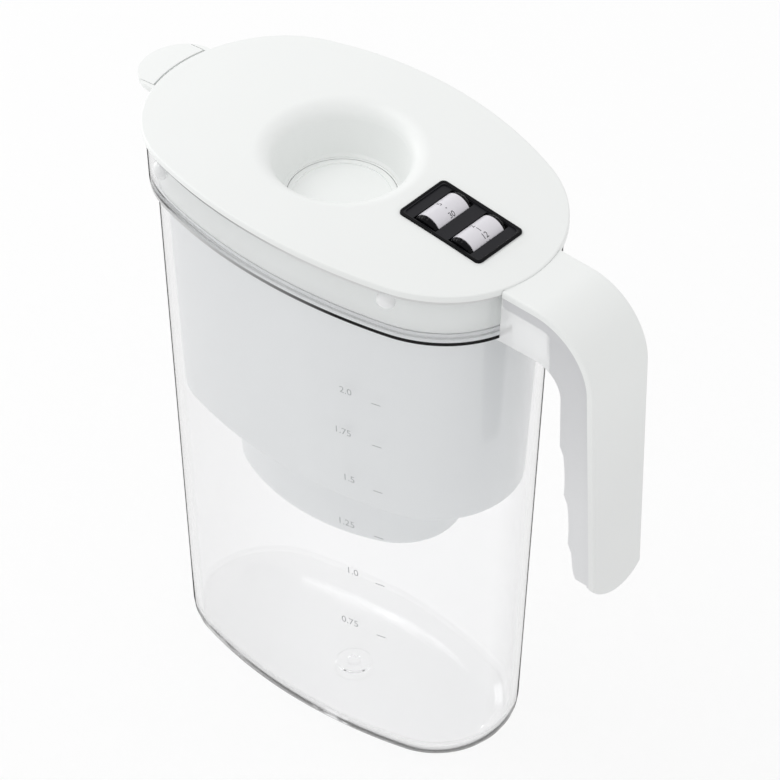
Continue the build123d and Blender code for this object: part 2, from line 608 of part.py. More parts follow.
with BuildPart() as funnel_hopper:
    with BuildSketch(Plane.XY.offset(WELL_FLOOR)):
        with Locations((WELL_X, 0)):
            draw_tub_oval(WELL_FOOT_HALF_LENGTH, WELL_FOOT_HALF_WIDTH, WELL_CORNER)
    with BuildSketch(Plane.XY.offset(HOPPER_FLOOR + 1)):
        with Locations((WELL_X, 0)):
            draw_tub_oval(WELL_TOP_HALF_LENGTH, WELL_TOP_HALF_WIDTH, WELL_CORNER)
    loft(ruled=True)
    fillet(edges().group_by(Axis.Z)[0], WELL_CORNER)
    add(hopper_blank.part)
    add(hopper_flange.part)
    add(hopper_void.part, mode=Mode.SUBTRACT)
    add(well_void.part, mode=Mode.SUBTRACT)
    with Locations((POUR_CHANNEL_X, 0, hopper_rim - 50)):
        Cylinder(POUR_CHANNEL_RADIUS, 200, mode=Mode.SUBTRACT)
    with BuildSketch(Plane.XY.offset(WELL_FLOOR)):
        with Locations((WELL_X, 0)):
            draw_tub_oval(WELL_HOLE_HALF_LENGTH, WELL_HOLE_HALF_WIDTH, WELL_CORNER)
    extrude(amount=FUNNEL_WALL, mode=Mode.SUBTRACT)
save(funnel_hopper, "funnel_hopper")

# Cartridge: tub with a slotted floor and a flange that hangs on the hopper's floor
with BuildPart() as cartridge_void:
    with BuildSketch(Plane.XY.offset(CARTRIDGE_FLOOR + CARTRIDGE_WALL)):
        with Locations((WELL_X, 0)):
            draw_cartridge(0, CARTRIDGE_WALL)
    with BuildSketch(Plane.XY.offset(CARTRIDGE_TOP + 1)):
        with Locations((WELL_X, 0)):
            draw_cartridge(1, CARTRIDGE_WALL)
    loft(ruled=True)

with BuildPart() as cartridge_housing:
    with BuildSketch(Plane.XY.offset(CARTRIDGE_FLOOR)):
        with Locations((WELL_X, 0)):
            draw_cartridge(0)
    with BuildSketch(Plane.XY.offset(CARTRIDGE_TOP)):
        with Locations((WELL_X, 0)):
            draw_cartridge(1)
    loft(ruled=True)
    with BuildSketch(Plane.XY.offset(CARTRIDGE_FLANGE_Z)):
        with Locations((WELL_X, 0)):
            draw_cartridge(1, -CARTRIDGE_FLANGE_REACH)
    extrude(amount=CARTRIDGE_FLANGE)
    add(cartridge_void.part, mode=Mode.SUBTRACT)
    with BuildSketch(Plane.XY.offset(CARTRIDGE_FLOOR)):
        with Locations((WELL_X, 0)):
            draw_slots()
    extrude(amount=CARTRIDGE_WALL, mode=Mode.SUBTRACT)
save(cartridge_housing, "cartridge_housing")

# Seal ring under the cartridge's flange
with BuildPart() as cartridge_seal:
    with BuildSketch(Plane.XY.offset(CARTRIDGE_FLANGE_Z - SEAL_HEIGHT)):
        with Locations((WELL_X, 0)):
            draw_cartridge(1, -SEAL_REACH)
    extrude(amount=SEAL_HEIGHT)
    with BuildSketch(Plane.XY.offset(CARTRIDGE_FLANGE_Z - SEAL_HEIGHT)):
        with Locations((WELL_X, 0)):
            draw_cartridge(1, -JOIN_GAP)
    extrude(amount=SEAL_HEIGHT, mode=Mode.SUBTRACT)
    fillet(edges().group_by(Axis.Z)[0], SEAL_HEIGHT / 3)
save(cartridge_seal, "cartridge_seal")

# Cap of the cartridge, with slots for the water and a rib to pull on
with BuildPart() as cap_void:
    with BuildSketch(Plane.XY.offset(CARTRIDGE_TOP)):
        with Locations((WELL_X, 0)):
            draw_cartridge(1, CARTRIDGE_WALL)
    with BuildSketch(Plane.XY.offset(CARTRIDGE_TOP + CAP_HEIGHT - CARTRIDGE_WALL)):
        with Locations((WELL_X, 0)):
            draw_cartridge(1, CAP_TAPER + CARTRIDGE_WALL)
    loft(ruled=True)

with BuildPart() as cartridge_cap:
    with BuildSketch(Plane.XY.offset(CARTRIDGE_TOP)):
        with Locations((WELL_X, 0)):
            draw_cartridge(1)
    with BuildSketch(Plane.XY.offset(CARTRIDGE_TOP + CAP_HEIGHT)):
        with Locations((WELL_X, 0)):
            draw_cartridge(1, CAP_TAPER)
    loft(ruled=True)
    fillet(edges().group_by(Axis.Z)[-1], CARTRIDGE_WALL)
    add(cap_void.part, mode=Mode.SUBTRACT)
    with BuildSketch(Plane.XY.offset(CARTRIDGE_TOP + CAP_HEIGHT - CARTRIDGE_WALL)):
        with Locations((WELL_X, 0)):
            draw_slots()
            Rectangle(
                CAP_PULL_LENGTH + 2 * CAP_PULL_WIDTH, 3 * CAP_PULL_WIDTH, mode=Mode.SUBTRACT
            )
    extrude(amount=CARTRIDGE_WALL, mode=Mode.SUBTRACT)
    with BuildSketch(upright(0)):
        with Locations((WELL_X, CARTRIDGE_TOP + CAP_HEIGHT - CARTRIDGE_WALL)):
            Trapezoid(
                CAP_PULL_LENGTH, CAP_PULL_HEIGHT + CARTRIDGE_WALL, 75,
                align=(Align.CENTER, Align.MIN),
            )
    extrude(amount=CAP_PULL_WIDTH / 2, both=True)
save(cartridge_cap, "cartridge_cap")

# Fine meshes under and over the filter grains
for name, height in (("outlet_mesh", OUTLET_MESH_Z), ("inlet_mesh", INLET_MESH_Z)):
    share = (height - CARTRIDGE_FLOOR) / (CARTRIDGE_TOP - CARTRIDGE_FLOOR)
    with BuildPart() as mesh:
        with BuildSketch(Plane.XY.offset(height)):
            with Locations((WELL_X, 0)):
                draw_cartridge(share, CARTRIDGE_WALL + MESH_GAP)
        extrude(amount=MESH)
    save(mesh, name)

with BuildPart() as filter_media:
    with BuildSketch(Plane.XY.offset(OUTLET_MESH_Z + MESH)):
        with Locations((WELL_X, 0)):
            draw_cartridge(0, CARTRIDGE_WALL + MESH_GAP)
    with BuildSketch(Plane.XY.offset(INLET_MESH_Z)):
        with Locations((WELL_X, 0)):
            draw_cartridge(1, CARTRIDGE_WALL + MESH_GAP)
    loft(ruled=True)
save(filter_media, "filter_media")

# Lid: plate, with the bowl under the tap, the dial's pocket and the hinges of both flaps
with BuildPart() as bowl_outside:
    with BuildSketch(BOWL_PLANE):
        with BuildLine():
            Polyline(
                (0, THROAT_FOOT),
                (THROAT_FOOT_RADIUS + BOWL_WALL, THROAT_FOOT),
                (THROAT_RADIUS + BOWL_WALL, THROAT_TOP),
                (BOWL_FLOOR_RADIUS + BOWL_WALL, BOWL_FLOOR_Z),
                (BOWL_MOUTH_RADIUS + BOWL_WALL, LID_TOP - BOWL_RIM_ROUND / 2),
                (BOWL_FLARE_RADIUS, BOWL_FLARE_Z),
                (0, BOWL_FLARE_Z),
                close=True,
            )
        make_face()
    revolve(axis=BOWL_AXIS)

with BuildPart() as bowl_inside:
    with BuildSketch(BOWL_PLANE):
        with BuildLine():
            Polyline(
                (0, THROAT_FOOT - 4),
                (THROAT_FOOT_RADIUS, THROAT_FOOT - 4),
                (THROAT_FOOT_RADIUS, THROAT_FOOT),
                (THROAT_RADIUS, THROAT_TOP),
                (BOWL_FLOOR_RADIUS, BOWL_FLOOR_Z),
                (BOWL_MOUTH_RADIUS, LID_TOP + 1),
                (0, LID_TOP + 1),
                close=True,
            )
        make_face()
    revolve(axis=BOWL_AXIS)

with BuildPart() as lid_skirt:
    with BuildSketch(Plane.XY.offset(LID_SKIRT_FOOT - 15)):
        draw_lid_oval(LID_SKIRT_INSET)
    extrude(amount=40)
    with BuildSketch(Plane.XY.offset(LID_SKIRT_FOOT - 15)):
        draw_lid_oval(LID_SKIRT_INSET + LID_SKIRT_WALL)
    extrude(amount=40, mode=Mode.SUBTRACT)
    keep_strip(LID_SKIRT_FOOT, LID_TOP - LID_PLATE / 2)
    with Locations((-LID_HALF_LENGTH, 0, LID_TOP - 20)):
        Box(60, 2 * SPOUT_SKIRT_GAP_HALF_WIDTH, 60, mode=Mode.SUBTRACT)

# The spout flap's ears have the outline that its leaf would have there
with BuildPart() as spout_ears:
    with BuildSketch(Plane.XY.offset(LID_TOP - 30)):
        with Locations((SPOUT_FLAP_X, 0)):
            Circle(SPOUT_FLAP_RADIUS)
    extrude(amount=40)
    keep_strip(LID_TOP - SPOUT_FLAP_PLATE, LID_TOP)
    ear_start = SPOUT_FLAP_X - SPOUT_FLAP_RADIUS
    with BuildSketch(Plane.XY):
        for side in (-1, 1):
            with Locations(
                (
                    (ear_start + SPOUT_EAR_ROOT_X) / 2,
                    side * (SPOUT_EAR_INNER + SPOUT_EAR_OUTER) / 2,
                )
            ):
                Rectangle(SPOUT_EAR_ROOT_X - ear_start, SPOUT_EAR_OUTER - SPOUT_EAR_INNER)
    extrude(amount=LID_TOP, mode=Mode.INTERSECT)

with BuildPart() as lid_shell:
    with BuildSketch(Plane.XY.offset(LID_TOP - 20)):
        draw_lid_oval(0)
    extrude(amount=30)
    keep_strip(LID_TOP - LID_PLATE, LID_TOP)
    fillet(faces().sort_by(Axis.Z)[-1].edges(), LID_EDGE_ROUND)
    add(bowl_outside.part)
    add(bowl_inside.part, mode=Mode.SUBTRACT)
    fillet(faces().sort_by(Axis.Z)[-1].inner_wires()[0].edges(), BOWL_RIM_ROUND)
    add(lid_skirt.part)
    # Pocket for the dial tray
    with BuildSketch(DIAL_PLANE.offset(-POCKET_DEPTH - POCKET_WALL)):
        RectangleRounded(
            DIAL_LENGTH + 2 * (DIAL_GAP + POCKET_WALL),
            DIAL_WIDTH + 2 * (DIAL_GAP + POCKET_WALL),
            DIAL_CORNER + DIAL_GAP + POCKET_WALL,
        )
    extrude(amount=POCKET_DEPTH + POCKET_WALL - LID_PLATE / 2)
    with BuildSketch(DIAL_PLANE.offset(-POCKET_DEPTH)):
        RectangleRounded(
            DIAL_LENGTH + 2 * DIAL_GAP, DIAL_WIDTH + 2 * DIAL_GAP, DIAL_CORNER + DIAL_GAP
        )
    extrude(amount=POCKET_DEPTH + 5, mode=Mode.SUBTRACT)
    # Lugs that hold the fill flap's pin
    for side in (-1, 1):
        with BuildSketch(upright(side * FLAP_LUG_Y)):
            with BuildLine():
                Polyline(
                    (FLAP_AXIS_X + FLAP_KNUCKLE_RADIUS, FLAP_AXIS_Z),
                    (FLAP_AXIS_X + FLAP_KNUCKLE_RADIUS, BOWL_FLOOR_Z),
                    (FLAP_AXIS_X - FLAP_LUG_HEAD_X, BOWL_FLOOR_Z + FLAP_LUG_RISE),
                    (FLAP_AXIS_X - FLAP_LUG_ROOT_X, BOWL_FLOOR_Z + FLAP_LUG_RISE),
                    (FLAP_AXIS_X - FLAP_LUG_ROOT_X, THROAT_FOOT + SLOT_GAP),
                    (FLAP_AXIS_X - FLAP_KNUCKLE_RADIUS, FLAP_AXIS_Z),
                    close=True,
                )
            make_face()
            with Locations((FLAP_AXIS_X, FLAP_AXIS_Z)):
                Circle(FLAP_KNUCKLE_RADIUS)
        extrude(amount=FLAP_LUG_WIDTH / 2, both=True)
    with Locations((FLAP_AXIS_X, 0, FLAP_AXIS_Z)):
        Cylinder(
            FLAP_PIN_RADIUS + FIXED_FIT, FLAP_PIN_LENGTH + 4, rotation=(90, 0, 0),
            mode=Mode.SUBTRACT,
        )
    # Ears that hold the spout flap's pins
    add(spout_ears.part)
    with Locations((SPOUT_AXIS_X, 0, SPOUT_AXIS_Z)):
        Cylinder(
            SPOUT_PIN_RADIUS + RUNNING_FIT, 2 * (SPOUT_PIN_TIP_Y + SLOT_GAP),
            rotation=(90, 0, 0), mode=Mode.SUBTRACT,
        )
save(lid_shell, "lid_shell")

# Dial tray
with BuildPart() as dial_tray:
    with BuildSketch(DIAL_PLANE.offset(-DIAL_DEPTH)):
        RectangleRounded(DIAL_LENGTH, DIAL_WIDTH, DIAL_CORNER)
    extrude(amount=DIAL_DEPTH + DIAL_RIM_PROUD)
    fillet(faces().sort_by(Axis.Z)[-1].edges(), DIAL_RIM / 3)
    with BuildSketch(DIAL_PLANE.offset(-DIAL_PANEL_DROP)):
        RectangleRounded(
            DIAL_LENGTH - 2 * DIAL_RIM, DIAL_WIDTH - 2 * DIAL_RIM, DIAL_CORNER - DIAL_RIM
        )
    extrude(amount=5, mode=Mode.SUBTRACT)
    with BuildSketch(DIAL_PLANE.offset(-DIAL_DEPTH)):
        RectangleRounded(
            DIAL_LENGTH - 2 * DIAL_WALL, DIAL_WIDTH - 2 * DIAL_WALL, DIAL_CORNER - DIAL_WALL
        )
    extrude(amount=DIAL_DEPTH - DIAL_PANEL_DROP - DIAL_PANEL, mode=Mode.SUBTRACT)
    with BuildSketch(DIAL_PLANE.offset(-DIAL_PANEL_DROP - DIAL_PANEL - 1)):
        with Locations((-WHEEL_PITCH / 2, 0), (WHEEL_PITCH / 2, 0)):
            RectangleRounded(WHEEL_SLOT, WHEEL_SLOT_LENGTH, WHEEL_SLOT_CORNER)
    extrude(amount=DIAL_PANEL + 2, mode=Mode.SUBTRACT)
    for x in (-WHEEL_PITCH / 2, WHEEL_PITCH / 2):
        with BuildSketch(wheel_plane(x)):
            Circle(AXLE_RADIUS + FIXED_FIT)
        extrude(amount=AXLE_LENGTH / 2, both=True, mode=Mode.SUBTRACT)
save(dial_tray, "dial_tray")

# Thumb wheels: a black core with grips at both ends, a white number band and an axle
for label, x in (("day", -WHEEL_PITCH / 2), ("month", WHEEL_PITCH / 2)):
    band_length = WHEEL_LENGTH - 2 * WHEEL_FLANGE - 2 * NUMBER_BAND_GAP
    with BuildPart() as wheel:
        with BuildSketch(wheel_plane(x)):
            Circle(WHEEL_HUB_RADIUS)
        extrude(amount=WHEEL_LENGTH / 2, both=True)
        for side in (-1, 1):
            with BuildSketch(wheel_plane(x, side * (WHEEL_LENGTH - WHEEL_FLANGE) / 2)):
                Circle(WHEEL_RADIUS)
                with PolarLocations(WHEEL_RADIUS + WHEEL_GRIP_RADIUS / 3, WHEEL_GRIPS):
                    Circle(WHEEL_GRIP_RADIUS, mode=Mode.SUBTRACT)
            extrude(amount=WHEEL_FLANGE / 2, both=True)
        with BuildSketch(wheel_plane(x)):
            Circle(AXLE_RADIUS + RUNNING_FIT)
        extrude(amount=WHEEL_LENGTH, both=True, mode=Mode.SUBTRACT)
    save(wheel, f"{label}_wheel")
    with BuildPart() as number_band:
        with BuildSketch(wheel_plane(x)):
            Circle(WHEEL_RADIUS - NUMBER_BAND_FIT)
            Circle(WHEEL_HUB_RADIUS + NUMBER_BAND_FIT, mode=Mode.SUBTRACT)
        extrude(amount=band_length / 2, both=True)
    save(number_band, f"{label}_number_band")
    with BuildPart() as axle:
        with BuildSketch(wheel_plane(x)):
            Circle(AXLE_RADIUS)
        extrude(amount=AXLE_LENGTH / 2, both=True)
    save(axle, f"{label}_axle")

# Detent spring: a leaf with one wave under each wheel
with BuildPart() as detent_spring:
    with BuildSketch(Plane(origin=DIAL_PLANE.origin, x_dir=DIAL_PLANE.x_dir, z_dir=(0, -1, 0))):
        with BuildLine():
            for side in (-1, 1):
                ThreePointArc(
                    (0, DETENT_FOOT),
                    (side * WHEEL_PITCH / 2, DETENT_CREST),
                    (side * DETENT_HALF_LENGTH, DETENT_FOOT),
                )
        trace(line_width=DETENT_THICKNESS)
    extrude(amount=DETENT_WIDTH / 2, both=True)
save(detent_spring, "detent_spring")

# Fill flap: a dished disc on two arms
with BuildPart() as fill_flap:
    with BuildSketch(Plane.XY.offset(FLAP_TOP - FLAP_PLATE)):
        with Locations((BOWL_X, 0)):
            Circle(FLAP_RADIUS)
    extrude(amount=FLAP_PLATE)
    fillet(edges().group_by(Axis.Z)[-1], FLAP_EDGE_ROUND)
    with BuildSketch(Plane.XY.offset(FLAP_TOP - FLAP_DISH)):
        with Locations((BOWL_X, 0)):
            Circle(FLAP_RADIUS - FLAP_RIM)
    extrude(amount=FLAP_DISH, mode=Mode.SUBTRACT)
    for side in (-1, 1):
        with BuildSketch(upright(side * FLAP_ARM_Y)):
            with BuildLine():
                Polyline(
                    (FLAP_AXIS_X, FLAP_AXIS_Z - FLAP_KNUCKLE_RADIUS),
                    (FLAP_AXIS_X - FLAP_ARM_HEEL_X, FLAP_AXIS_Z - FLAP_ARM_HEEL_DROP),
                    (BOWL_X - FLAP_RADIUS / 2, FLAP_TOP - FLAP_PLATE),
                    (FLAP_AXIS_X - FLAP_ARM_TOE_X, FLAP_TOP - FLAP_PLATE),
                    (FLAP_AXIS_X - FLAP_ARM_ELBOW_X, FLAP_ARM_ELBOW_Z),
                    (FLAP_AXIS_X, FLAP_AXIS_Z + FLAP_ARM_THINNING),
                    close=True,
                )
            make_face()
            with Locations((FLAP_AXIS_X, FLAP_AXIS_Z)):
                Circle(FLAP_KNUCKLE_RADIUS - FLAP_ARM_THINNING)
        extrude(amount=FLAP_ARM_WIDTH / 2, both=True)
    with Locations((FLAP_AXIS_X, 0, FLAP_AXIS_Z)):
        Cylinder(
            FLAP_PIN_RADIUS + RUNNING_FIT, FLAP_PIN_LENGTH, rotation=(90, 0, 0),
            mode=Mode.SUBTRACT,
        )
save(fill_flap, "fill_flap")

with BuildPart() as fill_flap_pin:
    with Locations((FLAP_AXIS_X, 0, FLAP_AXIS_Z)):
        Cylinder(FLAP_PIN_RADIUS, FLAP_PIN_LENGTH, rotation=(90, 0, 0))
save(fill_flap_pin, "fill_flap_pin")

# Spout flap: a crescent that goes on from the lid's end, with two stub pins
with BuildPart() as spout_flap:
    with BuildSketch(Plane.XY.offset(LID_TOP - 30)):
        with Locations((SPOUT_FLAP_X, 0)):
            Circle(SPOUT_FLAP_RADIUS)
    extrude(amount=40)
    with BuildSketch(Plane.XY.offset(LID_TOP - 30)):
        draw_lid_oval(-SPOUT_FLAP_GAP)
    extrude(amount=40, mode=Mode.SUBTRACT)
    keep_strip(LID_TOP - SPOUT_FLAP_PLATE, LID_TOP)
    with BuildSketch(Plane.XY):
        with Locations((SPOUT_FLAP_X, 0)):
            Rectangle(2 * SPOUT_FLAP_RADIUS, 2 * SPOUT_LEAF_HALF_WIDTH)
    extrude(amount=LID_TOP, mode=Mode.INTERSECT)
    with Locations((SPOUT_AXIS_X, 0, SPOUT_AXIS_Z)):
        Cylinder(SPOUT_PIN_RADIUS, 2 * SPOUT_PIN_TIP_Y, rotation=(90, 0, 0))
save(spout_flap, "spout_flap")
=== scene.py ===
# %% [markdown]
# # A water filter pitcher
# The shapes of this jug come from its CAD model: a clear oval body, a white lid with a bowl to
# fill it through, a funnel with a cartridge, and two black thumb wheels in a tray. This lesson
# gives every piece its finish, adds what is printed on the real one, and sets up a plain
# studio.

import math

import bmesh
import bpy
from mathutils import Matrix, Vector


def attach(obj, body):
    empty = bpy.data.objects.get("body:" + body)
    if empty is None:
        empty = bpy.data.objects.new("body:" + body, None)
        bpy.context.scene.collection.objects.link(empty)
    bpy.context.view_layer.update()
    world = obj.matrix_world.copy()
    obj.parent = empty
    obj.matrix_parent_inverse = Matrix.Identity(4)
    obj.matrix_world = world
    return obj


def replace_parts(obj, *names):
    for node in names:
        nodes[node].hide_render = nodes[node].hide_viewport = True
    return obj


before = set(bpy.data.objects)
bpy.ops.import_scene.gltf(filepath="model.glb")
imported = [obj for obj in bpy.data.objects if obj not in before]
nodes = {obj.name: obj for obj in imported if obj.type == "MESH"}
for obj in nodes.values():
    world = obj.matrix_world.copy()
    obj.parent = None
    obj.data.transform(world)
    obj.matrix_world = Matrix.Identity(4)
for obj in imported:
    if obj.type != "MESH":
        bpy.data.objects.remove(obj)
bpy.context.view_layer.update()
MM = 0.001

# %% [markdown]
# ## Surface effects
# Moulded plastic is never perfectly even. The mould leaves a fine grain, and hands leave faint
# soft marks that change the gloss. Both are wanted on many pieces, so each is a node group
# with its own inputs: a material places the group and sets how strong it is there. Materials
# are made of nodes too, so a few short helpers come first. The first one fills in a node's
# inputs; the others add one kind of node each and give back the socket that comes out.


# %% Start a node group or a material
def fill(tree, node, values):
    """Fills in a node's inputs: a socket is linked, anything else is set as a plain value."""
    for label, value in values.items():
        if isinstance(value, bpy.types.NodeSocket):
            tree.links.new(value, node.inputs[label])
        else:
            node.inputs[label].default_value = value
    return node


def new_group(name, numbers, outputs):
    """Makes a shader node group with number inputs and the named outputs."""
    group = bpy.data.node_groups.new(name, "ShaderNodeTree")
    for label, value in numbers.items():
        socket = group.interface.new_socket(label, in_out="INPUT", socket_type="NodeSocketFloat")
        socket.default_value = value
    for label, kind in outputs.items():
        group.interface.new_socket(label, in_out="OUTPUT", socket_type=kind)
    inside = group.nodes.new("NodeGroupInput")
    outside = group.nodes.new("NodeGroupOutput")
    return group, inside, outside


def new_material(name, values):
    """Makes a material; gives it back with its node tree and its Principled shader."""
    material = bpy.data.materials.new(name)
    material.use_nodes = True
    tree = material.node_tree
    return material, tree, fill(tree, tree.nodes["Principled BSDF"], values)


# %% Helpers that add one node
def add_node(tree, kind, values):
    """Adds a shader node of a kind with its inputs filled in."""
    return fill(tree, tree.nodes.new(f"ShaderNode{kind}"), values)


def group_node(tree, group, values):
    """Places a node group with its own inputs."""
    node = tree.nodes.new("ShaderNodeGroup")
    node.node_tree = group
    return fill(tree, node, values)


def math_node(tree, operation, a, b):
    """Adds a Math node; a and b are sockets or numbers."""
    node = add_node(tree, "Math", {0: a, 1: b})
    node.operation = operation
    return node.outputs[0]


def place_node(tree):
    """Adds the place of each point in the piece's own coordinates, in metres."""
    return tree.nodes.new("ShaderNodeTexCoord").outputs["Object"]


def axis_node(tree, axis):
    """Adds one coordinate of each point: X, Y or Z."""
    return add_node(tree, "SeparateXYZ", {"Vector": place_node(tree)}).outputs[axis]


def share_node(tree, value, low, high):
    """Adds how far a value has come from low to high, as a share from 0 to 1."""
    span = {"Value": value, "From Min": low, "From Max": high}
    return add_node(tree, "MapRange", span).outputs["Result"]


def ramp_node(tree, value, stops):
    """Adds a Color Ramp with a colour at each (place, colour) stop."""
    node = add_node(tree, "ValToRGB", {"Fac": value})
    elements = node.color_ramp.elements
    elements[0].position = stops[0][0]
    elements[1].position = stops[-1][0]
    for place, _ in stops[1:-1]:
        elements.new(place)
    for element, (_, colour) in zip(elements, stops):
        element.color = (*colour, 1)
    return node.outputs["Color"]


def noise_node(tree, scale, detail=2.0):
    """Adds a Noise node in the piece's own coordinates, in cells per metre."""
    cells = {"Vector": place_node(tree), "Scale": scale, "Detail": detail}
    return add_node(tree, "TexNoise", cells).outputs["Fac"]


def mix_surface(tree, share, first, second):
    """Puts a mix of two shaders on the surface, by the share of the second."""
    mix = add_node(tree, "MixShader", {"Fac": share, 1: first, 2: second})
    fill(tree, tree.nodes["Material Output"], {"Surface": mix.outputs["Shader"]})


# %% [markdown]
# The first group is the mould's grain: a tight noise that serves as height for a bump and
# nudges the roughness. The second is handling: wide, faint clouds that dull the gloss a little
# and grey the colour by a per cent or two.

# %% Mould grain and handling marks
NUMBER = "NodeSocketFloat"
grain_group, grain_in, grain_out = new_group(
    "mould_grain",
    {"Cells per metre": 2500.0, "Roughness": 0.35, "Variation": 0.08},
    {"Height": NUMBER, "Roughness": NUMBER},
)
fine = noise_node(grain_group, grain_in.outputs["Cells per metre"])
offset = math_node(grain_group, "SUBTRACT", fine, 0.5)
swing = math_node(grain_group, "MULTIPLY", offset, grain_in.outputs["Variation"])
rough = math_node(grain_group, "ADD", swing, grain_in.outputs["Roughness"])
fill(grain_group, grain_out, {"Height": fine, "Roughness": rough})

marks_group, marks_in, marks_out = new_group(
    "handling_marks",
    {"Clouds per metre": 28.0, "Dulling": 0.06, "Greying": 0.02},
    {"Roughness": NUMBER, "Tone": NUMBER},
)
clouds = noise_node(marks_group, marks_in.outputs["Clouds per metre"], 4.0)
dull = math_node(marks_group, "MULTIPLY", clouds, marks_in.outputs["Dulling"])
grey = math_node(marks_group, "MULTIPLY", clouds, marks_in.outputs["Greying"])
tone = math_node(marks_group, "SUBTRACT", 1.0, grey)
fill(marks_group, marks_out, {"Roughness": dull, "Tone": tone})
print("surface effects:", [g.name for g in bpy.data.node_groups])

# %% [markdown]
# ## White and black plastic
# The lid, the flaps and the handle are moulded in white plastic with a satin skin, the grip in
# a slightly greyer and duller one, the dial parts in black. One function makes them all: it
# puts both groups in front of a Principled shader and sets what differs as plain values. The
# handle's two parts also have light and shade painted in towards the top: painted light makes
# the cover lighter there, and painted shade makes the grip darker under the cover.

# %% Moulded plastic
PLASTIC_IOR = 1.49
GRAIN_DEPTH = 0.02 * MM
PAINTED_SHADING_FROM, PAINTED_SHADING_TO = 160 * MM, 235 * MM


def moulded_plastic(
    name, colour, roughness, grain=2500.0, bump=0.04, greying=0.02, shine=0.5, painted_top_shading=None
):
    """Opaque injection-moulded plastic with a fine skin, and another colour at the top that paints
    the light and shade there.
    """
    plain = {"IOR": PLASTIC_IOR, "Specular IOR Level": shine}
    material, tree, shader = new_material(name, plain)
    skin = group_node(tree, grain_group, {"Cells per metre": grain, "Roughness": roughness})
    marks = group_node(tree, marks_group, {"Greying": greying})
    rough = math_node(tree, "ADD", skin.outputs["Roughness"], marks.outputs["Roughness"])
    tint = tree.nodes.new("ShaderNodeMix")
    tint.data_type = "RGBA"
    greys = {"Factor": marks.outputs["Tone"], "A": (0, 0, 0, 1), "B": (*colour, 1)}
    fill(tree, tint, greys)
    # Painted light and shade: towards the top the colour blends into a second one, lighter on the
    # cover where light falls, darker on the grip in the cover's shade.
    if painted_top_shading:
        share = share_node(tree, axis_node(tree, "Z"), PAINTED_SHADING_FROM, PAINTED_SHADING_TO)
        fill(tree, tint, {"B": ramp_node(tree, share, ((0, colour), (1, painted_top_shading)))})
    relief = {"Height": skin.outputs["Height"], "Strength": bump, "Distance": GRAIN_DEPTH}
    normal = add_node(tree, "Bump", relief).outputs["Normal"]
    looks = {"Base Color": tint.outputs["Result"], "Roughness": rough, "Normal": normal}
    fill(tree, shader, looks)
    return material


lid_white = moulded_plastic("lid_white", (0.895, 0.91, 0.9), 0.38)
# Painted light: the cover turns lighter towards its top, where more light falls on it.
cover_white = moulded_plastic(
    "cover_white", (0.84, 0.85, 0.845), 0.38, painted_top_shading=(0.9, 0.915, 0.905)
)
flap_white = moulded_plastic("flap_white", (0.95, 0.965, 0.955), 0.38)
# Painted shade: the grip turns darker towards its top, in the shade of the cover above it.
grip_white = moulded_plastic(
    "grip_white", (0.79, 0.795, 0.805), 0.5, 1800.0, 0.3, painted_top_shading=(0.66, 0.665, 0.68)
)
funnel_white = moulded_plastic("funnel_white", (0.87, 0.88, 0.89), 0.3)
cartridge_white = moulded_plastic("cartridge_white", (0.82, 0.83, 0.84), 0.45, 1500.0, 0.2)
dial_black = moulded_plastic("dial_black", (0.012, 0.012, 0.015), 0.42, 3000.0, 0.3, 0.1, 0.2)
wheel_black = moulded_plastic("wheel_black", (0.003, 0.003, 0.004), 0.12, 3000.0, 0.1, 0.1, 0.1)
number_white = moulded_plastic("number_white", (0.75, 0.735, 0.775), 0.35, 3000.0, 0.1)
seal_grey = moulded_plastic("seal_grey", (0.5, 0.52, 0.55), 0.6, 1200.0, 0.4, 0.06)
MOULDED = (lid_white, cover_white, flap_white, grip_white, funnel_white, cartridge_white)
MOULDED += (dial_black, wheel_black, number_white, seal_grey)
print("moulded plastics:", [plastic.name for plastic in MOULDED])

# %% [markdown]
# ## Steel, mesh and filter grains
# The pins and the detent leaf are bright steel wire and strip, drawn with fine lines along
# their length. The meshes are woven nylon. The filter grains are dark and pale beads mixed.

# %% Drawn steel
DRAWN_LINES = (6000, 200, 6000)
STEEL_ROUGHNESS = 0.4
bright = {"Base Color": (0.62, 0.62, 0.64, 1), "Metallic": 1.0}
steel, tree, shader = new_material("drawn_steel", bright)
stretch = add_node(tree, "Mapping", {"Vector": place_node(tree), "Scale": DRAWN_LINES})
lines = add_node(tree, "TexNoise", {"Vector": stretch.outputs["Vector"], "Scale": 1.0})
rough = math_node(tree, "MULTIPLY", lines.outputs["Fac"], STEEL_ROUGHNESS)
fill(tree, shader, {"Roughness": rough})

# %% Woven mesh
THREADS_PER_METRE = 400.0
mesh_nylon, tree, shader = new_material("mesh_nylon", {"Roughness": 0.6})
threads = []
for direction in ("X", "Y"):
    wave = add_node(tree, "TexWave", {"Vector": place_node(tree), "Scale": THREADS_PER_METRE})
    wave.bands_direction = direction
    threads.append(wave.outputs["Fac"])
weave = math_node(tree, "MAXIMUM", *threads)
shade = ramp_node(tree, weave, ((0, (0.25, 0.25, 0.24)), (1, (0.85, 0.85, 0.82))))
fill(tree, shader, {"Base Color": shade})

# %% Filter grains
BEADS_PER_METRE, DARK_SHARE, BEAD_DEPTH = 900.0, 0.45, 0.5 * MM
grains, tree, shader = new_material("filter_grains", {"Roughness": 0.55})
beads = add_node(tree, "TexVoronoi", {"Vector": place_node(tree), "Scale": BEADS_PER_METRE})
split = add_node(tree, "SeparateColor", {"Color": beads.outputs["Color"]})
bead_stops = ((0, (0.02, 0.018, 0.016)), (DARK_SHARE, (0.62, 0.5, 0.33)))
shade = ramp_node(tree, split.outputs["Red"], bead_stops)
shade.node.color_ramp.interpolation = "CONSTANT"
relief = add_node(tree, "Bump", {"Height": beads.outputs["Distance"], "Distance": BEAD_DEPTH})
relief.invert = True
fill(tree, shader, {"Base Color": shade, "Normal": relief.outputs["Normal"]})
print("steel, mesh and grains:", steel.name, mesh_nylon.name, grains.name)

